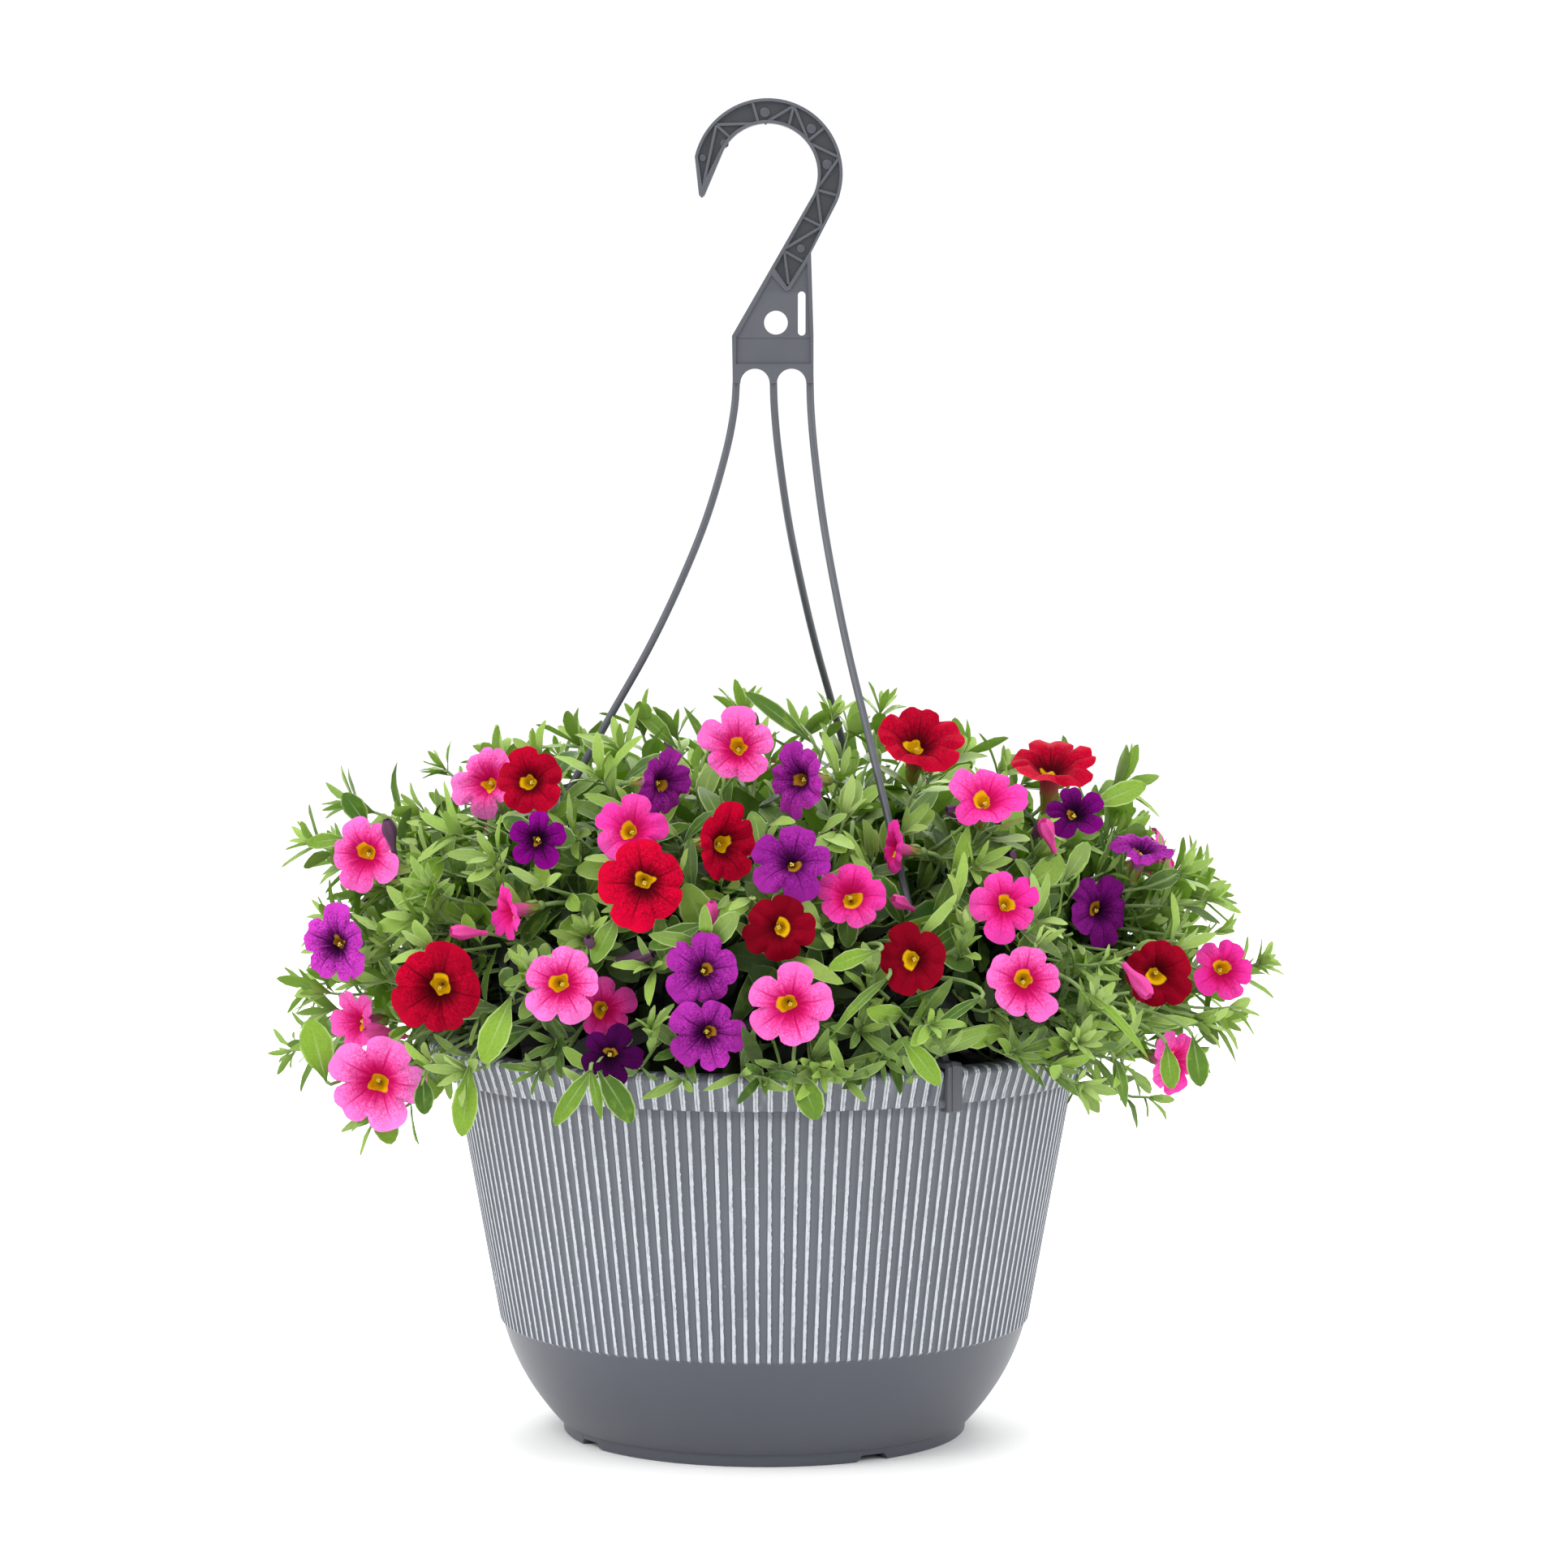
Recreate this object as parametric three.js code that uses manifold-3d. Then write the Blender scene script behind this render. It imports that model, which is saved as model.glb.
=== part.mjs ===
// Calibrachoa hanging basket: a ribbed plastic pot, a moulded three-arm hanger with a hook,
// soil, leafy sprays and five-lobed blooms in red, pink, violet and plum.
// Millimetres, +Z up. The origin is the centre of the foot plane, and -Y is the front.
import * as THREE from "three";
import { MeshSurfaceSampler } from "three/addons/math/MeshSurfaceSampler.js";
import { mergeVertices } from "three/addons/utils/BufferGeometryUtils.js";
import Module from "manifold-3d";

const wasm = await Module();
wasm.setup();
const { Manifold } = wasm;

// ---------------------------------------------------------------- driving dimensions
const GAP = 0.35; // between pieces that touch
const WALL = 2.4; // pot wall, crest to inside

const FOOT = { radius: 80.6, inner: 74, height: 5.2, floorLow: 3.2, floorTop: 5.8 };
const NOTCH = { count: 4, firstAzimuth: 32, bottomWidth: 15, topWidth: 10, height: 2.6 };
const DRAIN = { count: 8, radius: 5, ringRadius: 60 };
const BOWL = { startRadius: 82.3, bendRadius: 99.1, bendZ: 23.1, topRadius: 104.7, topZ: 44.6 };
const BODY = { bottomZ: 46, bottomRadius: 106, slope: 0.181 };
const RIM = { lowZ: 145.6, lowRadius: 130.8, highZ: 157.4, radius: 135, topZ: 159.8, innerLip: 126 };
const RIBS = { count: 150, depth: 0.8 };
const SOIL = { edgeZ: 145, topZ: 148, gap: 0.8, sides: 20, holeRadius: 3.7, holeDepth: 16 };
const SIDES = 36; // facets round the smooth parts of the pot
const THROUGH = 20; // length of a cut that goes right through the hanger

const HOOK = { x: 1.5, z: 501, outer: 29.6, inner: 19.7, depth: 6.4, web: 2, flange: 1.3 };
const HOOK_TIP = [[-23.5, 492.4], [-24.6, 491.5], [-25.7, 492.6]]; // x, z
const POCKET_TIP = [-24.3, 497]; // where the pocket inside the flange starts
const PLATE = { left: -12.4, right: 19.6, bottom: 418.4, pocketZ: 426, cornerZ: 437.2 };
const SHOULDER = { x: 18.6, z: 469.9 };
const ARCH = { centres: [10.9, -3.6], radius: 5.8 };
const PLATE_HOLE = { x: 4.7, z: 442.4, radius: 4.7 };
const PLATE_SLOT = { x: 14.9, low: 438.8, high: 453.2, width: 3, border: 1.2 };
const TRUSS = { from: 160, to: -22, bays: 13, thickness: 1.1, depth: 5.4 };
// The zigzag's first point at the tip, and its points down the shank, as x and z.
const TRUSS_TIP = [-23.9, 495.2];
const TRUSS_SHANK = [[24, 479.6], [10.9, 477.6], [17.4, 469.6], [5.2, 467.6], [14, 458.8], [1.4, 456.4]];
const BOSS = { radius: 1.9, depth: 4.4, at: [1, 4, 7, 10, 13] };
const ARM = { starts: [-10.9, 18.15, 3.65], azimuths: [-84.7, 31.9, 152], radius: 1.6, reach: 131.2 };
// An arm's height and its share of the way out: it bows in near the plate, then runs straight.
const ARM_BOW = [
  [421, 0], [408, 0.008], [390.4, 0.037], [364.7, 0.101], [338.9, 0.189],
  [313, 0.294], [287.1, 0.417], [267.7, 0.508], [216, 0.749], [161.4, 1],
];
const CLIP = { width: 7, top: 162.4, low: 144.9, out: 137.6, lip: 1.9, leg: 153, groove: 2.2 };

// The bush is a dome over the pot, its half width, half depth and height above the dome's base.
const CANOPY = { halfX: 182, halfY: 152, height: 112, baseZ: 168 };
// Each spray has a dense inner core, one sector of a smaller dome, with the arms in the slots between.
const CORE = { scale: 0.66, share: 0.72, halfWidth: 17, lowZ: 150, edgeLowZ: 160, jitter: 2.5 };
const CORE_STATIONS = [26, 58]; // distances from the axis of a core's inner sections
const SPRAYS = 12;
const SPRAY_RING = { radius: 68, z: 186, firstAzimuth: 18.5, middleRadius: 17, middleTop: 240 };
const STEM = { base: 3, twig: 1.15, sides: 3 };
const LEAF = { covering: 33, short: 19, small: 17, widthRatio: 0.43, leastWidth: 6, thickness: 0.9 };
const LEAVES = { spacing: 30, perCore: 10, apart: 13 };
const BLOOM = { tube: 0.62, tubeRadius: 0.09, throat: 0.25, notch: 0.74 };
const SEED = 2718;

// Blooms seen from the front and sides: colour, place of the flat face, width, turn and lift.
// Turn 0 faces the front and 90 faces +X; lift 90 faces up. Blooms of one name share a node.
const BLOOMS = [
  ["red_a", "red", [-90, -74, 266], 29, -12, 12],
  ["red_b", "red", [-123, -113, 190], 39, -6, 0],
  ["red_c", "red", [-44, -141, 233], 35.5, 2, 2],
  ["red_d", "red", [-14, -112, 245], 32, 42, 4],
  ["red_e", "red", [6, -147, 217], 28, 0, 2],
  ["red_f", "red", [56, -145, 205], 28.5, -8, 4],
  ["red_g", "red", [61, -10, 277], 37, 8, 48],
  ["red_h", "red", [114, -10, 268], 38, 6, 62],
  ["red_i", "red", [152, -76, 192], 30, 10, 4],
  ["pink_a", "pink", [-110, -20, 262], 32, -30, 16],
  ["pink_b", "pink", [-155, -54, 236], 31, -16, 6],
  ["pink_c", "pink", [-148, -92, 152], 37, -4, 0],
  ["pink_d", "pink", [-75, -139, 195], 31, 0, 6],
  ["pink_e", "pink", [-50, -105, 250], 29, -4, 22],
  ["pink_f", "pink", [-10, -63, 278], 31, -4, 14],
  ["pink_g", "pink", [33, -126, 227], 29, 4, 18],
  ["pink_h", "pink", [10, -157, 189], 33, -4, -4],
  ["pink_i", "pink", [85, -90, 261], 31, 6, 40],
  ["pink_j", "pink", [91, -122, 223], 28, 8, 10],
  ["pink_k", "pink", [98, -133, 195], 31, 6, 4],
  ["pink_l", "pink", [180, -40, 189], 27.5, 14, 6],
  ["pink_m", "pink", [-97, -110, 219], 24, -62, -8],
  ["pink_n", "pink", [49, -84, 241], 22, -68, 8],
  ["pink_o", "pink", [-60, -117, 183], 25, 6, 4],
  ["pink_p", "pink", [-162, -20, 166], 27, -50, 0],
  ["pink_q", "pink", [162, -36, 152], 29, 42, -6],
  ["violet_a", "violet", [-166, -66, 202], 31, -26, 4],
  ["violet_b", "violet", [-38, -84, 266], 29, 44, 2],
  ["violet_c", "violet", [13, -78, 267], 30, -42, 4],
  ["violet_d", "violet", [11, -133, 241], 31, 2, 30],
  ["violet_e", "violet", [-22, -147, 201], 29.5, 2, 6],
  ["violet_e", "violet", [-21, -147.5, 177.5], 29.5, -2, -8],
  ["violet_f", "violet", [148, -46, 238], 26.5, 30, 64],
  ["violet_g", "violet", [131, -52, 214], 29, 22, 10],
  ["plum_a", "plum", [-85, -114, 247], 23, -2, 4],
  ["plum_b", "plum", [-57, -147, 169], 25, 0, -6],
  ["plum_c", "plum", [120, -74, 254], 24, 10, 34],
];
// Pairs of blooms that share a node, round the back: colour, azimuth, height and lift.
const BACK_PAIRS = [
  ["pink_back_a", "pink", 104, 226, 20],
  ["red_back_a", "red", 127, 186, 6],
  ["violet_back_a", "violet", 143, 244, 34],
  ["pink_back_b", "pink", 167, 196, 8],
  ["red_back_b", "red", 186, 250, 36],
  ["violet_back_b", "violet", 208, 190, 4],
  ["pink_back_c", "pink", 226, 240, 30],
  ["plum_back_a", "plum", 250, 204, 12],
];
const BACK = { scale: 0.97, size: 30, spread: 10.5, fan: 12 };
// Tips of the leafy shoots that reach furthest: place and leaf length.
const SHOOTS = [
  [[-198, 92, 140], 18], [[-182, 56, 148], 27], [[-179, -14, 237], 22], [[-168, 42, 248], 24],
  [[-129, 20, 264], 18], [[-84, 58, 276], 20], [[-50, 24, 284], 26], [[-8, 26, 292], 30],
  [[27, -14, 288], 18], [[47, 30, 292], 22], [[143, 24, 256], 30], [[183, 24, 220], 18],
  [[201, -94, 198], 20], [[190, -54, 172], 20], [[170, 10, 146], 22], [[141, -98, 148], 22],
  [[-146, -70, 128], 22], [[-112, -134, 142], 28], [[-66, -160, 150], 24], [[20, -166, 152], 24],
  [[62, -166, 164], 24], [[118, -142, 158], 22], [[90, 110, 250], 22], [[150, 100, 196], 20],
  [[100, 155, 160], 22], [[20, 167, 168], 24], [[-60, 164, 182], 22], [[-140, 124, 176], 22],
  [[-60, 110, 255], 22],
];

const COLOURS = {
  pot: [0x7b808a, 0.62],
  hanger: [0x64686f, 0.5],
  soil: [0x33261c, 0.95],
  leaf: [0x5c8a2c, 0.7],
  red: [0xb8052a, 0.6],
  pink: [0xf577bd, 0.6],
  violet: [0x9a2f9f, 0.6],
  plum: [0x4a0a58, 0.6],
};

// ---------------------------------------------------------------- small helpers
const rad = THREE.MathUtils.degToRad;
const v2 = (x, y) => new THREE.Vector2(x, y);
const v3 = (x, y, z) => new THREE.Vector3(x, y, z);
const GOLDEN_ANGLE = Math.PI * (3 - Math.sqrt(5));

// A repeatable random stream (mulberry32).
function randomStream(seed) {
  let state = seed;
  return () => {
    state = (state + 0x6d2b79f5) | 0;
    let t = Math.imul(state ^ (state >>> 15), 1 | state);
    t = (t + Math.imul(t ^ (t >>> 7), 61 | t)) ^ t;
    return ((t ^ (t >>> 14)) >>> 0) / 4294967296;
  };
}
const random = randomStream(SEED);
const between = (low, high) => low + (high - low) * random();

// The direction at an azimuth from the front towards +X, raised by lift, both in degrees.
function facing(azimuth, lift = 0) {
  const a = rad(azimuth);
  const l = rad(lift);
  return v3(Math.sin(a) * Math.cos(l), -Math.cos(a) * Math.cos(l), Math.sin(l));
}

function bodyRadius(z) {
  return BODY.bottomRadius + BODY.slope * (z - BODY.bottomZ);
}

// Six times the signed volume under a triangle list; its sign tells which way the faces point.
function signedVolume(positions, triangles) {
  const corner = (i) => v3(positions[3 * i], positions[3 * i + 1], positions[3 * i + 2]);
  let sum = 0;
  for (let i = 0; i < triangles.length; i += 3) {
    const [a, b, c] = [0, 1, 2].map((k) => corner(triangles[i + k]));
    sum += a.dot(b.cross(c));
  }
  return sum;
}

// A closed geometry as a solid, with its faces pointing out.
function solidOf(geometry) {
  const bare = geometry.clone();
  bare.deleteAttribute("normal");
  bare.deleteAttribute("uv");
  const merged = mergeVertices(bare, 1e-4);
  const vertProperties = new Float32Array(merged.attributes.position.array);
  const triVerts = new Uint32Array(merged.index.array);
  if (signedVolume(vertProperties, triVerts) < 0) {
    for (let i = 0; i < triVerts.length; i += 3) {
      [triVerts[i], triVerts[i + 1]] = [triVerts[i + 1], triVerts[i]];
    }
  }
  return new Manifold(new wasm.Mesh({ numProp: 3, vertProperties, triVerts }));
}

function geometryOf(points, faces) {
  const geometry = new THREE.BufferGeometry();
  geometry.setFromPoints(points);
  geometry.setIndex(faces.flat());
  return geometry;
}

function lathe(profile, sides) {
  const points = profile.map(([r, z]) => v2(r, z));
  return solidOf(new THREE.LatheGeometry(points, sides).rotateX(Math.PI / 2));
}

// The band of triangles between two rings, which may differ in their number of points.
function bridge(start, count, nextStart, nextCount) {
  const faces = [];
  let [i, j] = [0, 0];
  while (i < count || j < nextCount) {
    const [a, b] = [start + (i % count), nextStart + (j % nextCount)];
    if (j === nextCount || (i < count && (i + 1) / count <= (j + 1) / nextCount)) {
      i += 1;
      faces.push([a, start + (i % count), b]);
    } else {
      j += 1;
      faces.push([a, nextStart + (j % nextCount), b]);
    }
  }
  return faces;
}

// A solid through a row of rings, closed by a fan at each end.
function loftGeometry(rings) {
  const points = rings.flat();
  const faces = [];
  let start = 0;
  rings.forEach((ring, r) => {
    const nextStart = start + ring.length;
    if (r + 1 < rings.length) {
      faces.push(...bridge(start, ring.length, nextStart, rings[r + 1].length));
    }
    if (r === 0 || r + 1 === rings.length) {
      const middle = ring.reduce((sum, p) => sum.add(p), v3(0, 0, 0)).divideScalar(ring.length);
      const m = points.push(middle) - 1;
      ring.forEach((_, i) => {
        const [a, b] = [start + i, start + ((i + 1) % ring.length)];
        faces.push(r === 0 ? [b, a, m] : [a, b, m]);
      });
    }
    start = nextStart;
  });
  return geometryOf(points, faces);
}

function regularShape(radius, sides) {
  return new THREE.Shape(arcPoints(0, 0, radius, 0, 360 - 360 / sides, sides - 1));
}

function rod(curve, radius, sides, steps) {
  const options = { steps, extrudePath: curve, bevelEnabled: false };
  return solidOf(new THREE.ExtrudeGeometry(regularShape(radius, sides), options));
}

// An outline in X and Z, extruded along Y about the plane y = 0.
function plateOf(outline, depth, holes = []) {
  const shape = new THREE.Shape(outline);
  shape.holes = holes.map((hole) => new THREE.Path(hole));
  const geometry = new THREE.ExtrudeGeometry(shape, { depth, bevelEnabled: false });
  return solidOf(geometry.translate(0, 0, -depth / 2).rotateX(Math.PI / 2));
}

function post(x, z, radius, length, sides) {
  const geometry = new THREE.CylinderGeometry(radius, radius, length, sides);
  return solidOf(geometry.translate(x, 0, z));
}

function arcPoints(x, y, radius, fromDegrees, toDegrees, steps) {
  return Array.from({ length: steps + 1 }, (_, i) => {
    const a = rad(fromDegrees + ((toDegrees - fromDegrees) * i) / steps);
    return v2(x + radius * Math.cos(a), y + radius * Math.sin(a));
  });
}

// ---------------------------------------------------------------- pot
// A ring with one crest and one groove for each rib.
function ribbedRing(crestRadius, z) {
  return Array.from({ length: 2 * RIBS.count }, (_, i) => {
    const a = (Math.PI * i) / RIBS.count;
    const r = crestRadius - (i % 2 ? RIBS.depth : 0);
    return v3(r * Math.cos(a), r * Math.sin(a), z);
  });
}

function plainRing([radius, z]) {
  return Array.from({ length: SIDES }, (_, i) => {
    const a = (2 * Math.PI * i) / SIDES;
    return v3(radius * Math.cos(a), radius * Math.sin(a), z);
  });
}

// The bowl's curve from the foot up to the ledge, moved in by an offset.
function bowlCurve(offset, steps) {
  const curve = new THREE.QuadraticBezierCurve(
    v2(BOWL.startRadius - offset, FOOT.height + offset * 0.3),
    v2(BOWL.bendRadius - offset, BOWL.bendZ + offset * 0.3),
    v2(BOWL.topRadius - offset, BOWL.topZ),
  );
  return curve.getPoints(steps).map((p) => [p.x, p.y]);
}

// The inside of the pot from its floor up to a height, moved in by a clearance.
function cavityProfile(clearance, topZ) {
  return [
    [FOOT.radius - 3 - clearance, FOOT.floorTop + clearance],
    ...bowlCurve(WALL + clearance, 3).slice(1),
    [bodyRadius(topZ) - WALL - clearance, topZ],
  ];
}

function buildPot() {
  const foot = [
    [FOOT.inner - 1.5, FOOT.floorLow],
    [FOOT.inner, 0],
    [FOOT.radius, 0],
    [FOOT.radius + 0.4, FOOT.height],
  ];
  const shoulder = RIM.radius - RIBS.depth - 0.6;
  const top = [[shoulder - 1.6, RIM.topZ - 0.6], [shoulder - 3.8, RIM.topZ], [RIM.innerLip, RIM.topZ]];
  const shell = solidOf(loftGeometry([
    ...[...foot, ...bowlCurve(0, 4)].map(plainRing),
    ribbedRing(bodyRadius(BODY.bottomZ), BODY.bottomZ),
    ribbedRing(bodyRadius(RIM.lowZ), RIM.lowZ),
    ribbedRing(RIM.lowRadius, RIM.lowZ),
    ribbedRing(RIM.radius, RIM.highZ),
    ...[...top, ...cavityProfile(0, RIM.topZ - 1.2).reverse()].map(plainRing),
  ]));
  return Manifold.difference([shell, ...footNotches(), ...drainHoles()]);
}

function footNotches() {
  const half = [NOTCH.bottomWidth / 2, NOTCH.topWidth / 2];
  const corners = [[-half[0], -1], [half[0], -1], [half[1], NOTCH.height], [-half[1], NOTCH.height]];
  const outline = corners.map(([x, z]) => v2(x, z));
  return Array.from({ length: NOTCH.count }, (_, i) => {
    const azimuth = NOTCH.firstAzimuth + (360 * i) / NOTCH.count;
    return plateOf(outline, 30).translate(0, -FOOT.radius, 0).rotate(0, 0, azimuth);
  });
}

function drainHoles() {
  return Array.from({ length: DRAIN.count }, (_, i) => {
    const place = facing((360 * (i + 0.5)) / DRAIN.count).multiplyScalar(DRAIN.ringRadius);
    const geometry = new THREE.CylinderGeometry(DRAIN.radius, DRAIN.radius, 12, 8);
    return solidOf(geometry.rotateX(Math.PI / 2).translate(place.x, place.y, FOOT.floorLow));
  });
}

// ---------------------------------------------------------------- hanger
// The outline of the hook and the plate below it, clockwise from the tip. With an inset it is the
// outline of the pocket inside the flange, which stops short of the tip and of the arches.
function hangerOutline(inset = 0) {
  const tip = (inset ? [POCKET_TIP] : HOOK_TIP).map(([x, z]) => v2(x, z));
  const outerArc = arcPoints(HOOK.x, HOOK.z, HOOK.outer - inset, 167, -22, 15);
  const right = PLATE.right - inset;
  const rightSide = [v2(SHOULDER.x - inset, SHOULDER.z + 0.2 * inset), v2(right, PLATE.cornerZ)];
  const feet = ARCH.centres.map((x) => arcPoints(x, PLATE.bottom, ARCH.radius, 0, 180, 5)).flat();
  const low = inset ? PLATE.pocketZ : PLATE.bottom;
  const bottom = [v2(right, low), ...(inset ? [] : feet), v2(PLATE.left + inset, low)];
  const leftCorner = v2(PLATE.left - 0.3 + inset, PLATE.cornerZ - 0.27 * inset);
  const innerArc = arcPoints(HOOK.x, HOOK.z, HOOK.inner + inset, -24, 152, 13);
  return [...tip, ...outerArc, ...rightSide, ...bottom, leftCorner, ...innerArc];
}

// A straight rib between two points of the plate's plane.
function strut(from, to) {
  const length = from.distanceTo(to);
  const geometry = new THREE.BoxGeometry(length, TRUSS.depth, TRUSS.thickness);
  const angle = Math.atan2(to.y - from.y, to.x - from.x);
  const middle = from.clone().add(to).divideScalar(2);
  return solidOf(geometry.rotateY(-angle).translate(middle.x, 0, middle.y));
}

// The zigzag of ribs round the hook and down its shank.
function trussPoints() {
  const reach = HOOK.flange * 0.5;
  const arc = Array.from({ length: TRUSS.bays + 1 }, (_, i) => {
    const a = rad(TRUSS.from + ((TRUSS.to - TRUSS.from) * i) / TRUSS.bays);
    const r = i % 2 ? HOOK.inner + reach : HOOK.outer - reach;
    return v2(HOOK.x + r * Math.cos(a), HOOK.z + r * Math.sin(a));
  });
  return [v2(...TRUSS_TIP), ...arc, ...TRUSS_SHANK.map(([x, z]) => v2(x, z))];
}

function armCurve(startX, azimuth) {
  const end = facing(azimuth).multiplyScalar(ARM.reach);
  const points = ARM_BOW.map(([z, share]) => v3(startX + (end.x - startX) * share, end.y * share, z));
  return new THREE.CatmullRomCurve3(points);
}

// The clip that holds the rim, as a bent strip in the plane through the pot's axis.
function rimClip(azimuth) {
  const inside = bodyRadius(CLIP.leg) - WALL - 0.9;
  const outside = RIM.radius + GAP;
  const under = RIM.topZ + GAP;
  const heel = RIM.lowRadius + 1.4;
  const outline = [
    [inside - 2, CLIP.leg],
    [inside - 2, CLIP.top - 1],
    [inside - 0.6, CLIP.top],
    [CLIP.out - 1, CLIP.top],
    [CLIP.out, CLIP.top - 1.2],
    [CLIP.out, CLIP.low - CLIP.lip],
    [heel, CLIP.low - CLIP.lip],
    [heel, CLIP.low],
    [outside, CLIP.low + 0.4],
    [outside, under],
    [inside, under],
    [inside, CLIP.leg],
  ];
  const strip = plateOf(outline.map(([x, z]) => v2(x, z)), CLIP.width);
  const groove = new THREE.BoxGeometry(1.6, CLIP.groove, 2 * (CLIP.top - CLIP.low));
  const cut = solidOf(groove.translate(CLIP.out, 0, CLIP.low + 2));
  return strip.subtract(cut).rotate(0, 0, azimuth - 90);
}

function slotOutline(border) {
  const radius = PLATE_SLOT.width / 2 + border;
  return [
    ...arcPoints(PLATE_SLOT.x, PLATE_SLOT.high, radius, 0, 180, 4),
    ...arcPoints(PLATE_SLOT.x, PLATE_SLOT.low, radius, 180, 360, 4),
  ];
}

function buildHanger() {
  const pocketDepth = (HOOK.depth - HOOK.web) / 2;
  const pocket = plateOf(hangerOutline(HOOK.flange), pocketDepth);
  const pocketY = (HOOK.web + pocketDepth) / 2 + 0.001;
  const pockets = [pocket.translate(0, pocketY, 0), pocket.translate(0, -pocketY, 0)];
  const hull = Manifold.difference([plateOf(hangerOutline(), HOOK.depth), ...pockets]);
  const truss = trussPoints();
  const within = plateOf(hangerOutline(), THROUGH);
  const struts = truss.slice(1).map((p, i) => strut(truss[i], p).intersect(within));
  const bosses = BOSS.at.map((i) => post(truss[i].x, truss[i].y, BOSS.radius, BOSS.depth, 6));
  const collars = [
    plateOf(slotOutline(PLATE_SLOT.border), HOOK.depth - 1),
    post(PLATE_HOLE.x, PLATE_HOLE.z, PLATE_HOLE.radius + 1.1, HOOK.web + 1.6, 12),
  ];
  const holes = [
    plateOf(slotOutline(0), THROUGH),
    post(PLATE_HOLE.x, PLATE_HOLE.z, PLATE_HOLE.radius, THROUGH, 12),
  ];
  const plate = Manifold.union([hull, ...struts, ...bosses, ...collars]);
  const arms = ARM.starts.map((x, i) => rod(armCurve(x, ARM.azimuths[i]), ARM.radius, 5, 12));
  const clips = ARM.azimuths.map(rimClip);
  return Manifold.union([Manifold.difference([plate, ...holes]), ...arms, ...clips]);
}

// ---------------------------------------------------------------- blooms
// Five rounded lobes round a funnel: the face is at z = 0 and the tube points down.
function bloomSolid(size, place, turn, lift, roll) {
  const radius = size / 2;
  const lobe = [BLOOM.notch, 0.96, 1.02, 0.96];
  const ring = (count, r, z, phase = 0) => Array.from({ length: count }, (_, i) => {
    const a = (2 * Math.PI * (i + phase)) / count;
    return v3(r(i) * Math.cos(a), r(i) * Math.sin(a), z(i));
  });
  const edge = ring(20, (i) => radius * lobe[i % 4], (i) => (i % 4 === 0 ? 0.5 : -0.4));
  const throat = ring(5, () => radius * BLOOM.throat, () => -1.6, 0.5);
  const back = ring(5, () => radius * (BLOOM.throat + 0.04), () => -3.6, 0.5);
  const tube = ring(5, () => size * BLOOM.tubeRadius, () => -size * BLOOM.tube, 0.5);
  const points = [...edge, ...throat, ...back, ...tube, v3(0, 0, -size * BLOOM.tube * 0.6)];
  const faces = [];
  for (let i = 0; i < 5; i++) {
    const next = (i + 1) % 5;
    for (let k = 0; k < 4; k++) {
      const [a, b] = [4 * i + k, (4 * i + k + 1) % 20];
      faces.push([a, b, 20 + i], [b, a, 25 + i]);
    }
    const shared = (4 * next) % 20;
    faces.push([shared, 20 + next, 20 + i], [shared, 25 + i, 25 + next]);
    faces.push([20 + i, 20 + next, 35]);
    faces.push([25 + next, 25 + i, 30 + i], [25 + next, 30 + i, 30 + next]);
  }
  faces.push([30, 32, 31], [30, 33, 32], [30, 34, 33]);
  const geometry = geometryOf(points, faces);
  geometry.rotateZ(roll);
  geometry.applyQuaternion(new THREE.Quaternion().setFromUnitVectors(v3(0, 0, 1), facing(turn, lift)));
  return solidOf(geometry.translate(...place));
}

// Every bloom as a record of its node, colour, solid and where its stem ends.
function placeBlooms() {
  const rows = BLOOMS.map((row) => {
    const [node, colour, at, size, turn, lift] = row;
    return { node, colour, at, size, turn, lift };
  });
  for (const [node, colour, azimuth, z, lift] of BACK_PAIRS) {
    const rise = Math.max(0, z - CANOPY.baseZ) / CANOPY.height;
    const radius = domeRadius(azimuth, BACK.scale) * Math.cbrt(1 - rise ** 3);
    const middle = facing(azimuth).multiplyScalar(radius).setZ(z);
    for (const side of [-1, 1]) {
      const at = middle.clone().addScaledVector(facing(azimuth + 90), side * BACK.spread);
      const turn = azimuth + side * BACK.fan;
      rows.push({ node, colour, at: at.toArray(), size: BACK.size, turn, lift: lift + side * 4 });
    }
  }
  return rows.map((row) => {
    const axis = facing(row.turn, row.lift);
    const solid = bloomSolid(row.size, row.at, row.turn, row.lift, between(0, 2 * Math.PI));
    const stemEnd = v3(...row.at).addScaledVector(axis, -row.size * BLOOM.tube - GAP);
    return { ...row, axis, solid, stemEnd };
  });
}

// ---------------------------------------------------------------- leafy sprays
// A pointed leaf from its root along a direction, keeled below along the midrib. A small leaf has
// one widest point on each side, and a large leaf two.
function leafSolid(root, along, up, length, width) {
  const x = along.clone().normalize();
  const z = up.clone().addScaledVector(x, -up.dot(x)).normalize();
  const y = z.clone().cross(x);
  const at = (a, b, c) => {
    const p = root.clone().addScaledVector(x, a * length);
    return p.addScaledVector(y, b * width).addScaledVector(z, c);
  };
  const side = length < LEAF.small ? [[0.5, 0.5]] : [[0.34, 0.47], [0.7, 0.4]];
  const left = side.map(([a, b]) => at(a, b, 0.5));
  const right = side.map(([a, b]) => at(a, -b, 0.5)).reverse();
  const keel = at(0.5, 0, -LEAF.thickness);
  const points = [at(0, 0, 0), ...left, at(1, 0, 0), ...right, keel];
  const last = points.length - 1;
  const outline = points.slice(0, last).map((_, i) => [i, (i + 1) % last, last]);
  const smallTop = [[1, 0, 3], [2, 1, 3]];
  const largeTop = [[1, 0, 5], [2, 1, 5], [4, 2, 5], [3, 2, 4]];
  const top = length < LEAF.small ? smallTop : largeTop;
  return solidOf(geometryOf(points, [...outline, ...top]));
}

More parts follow.
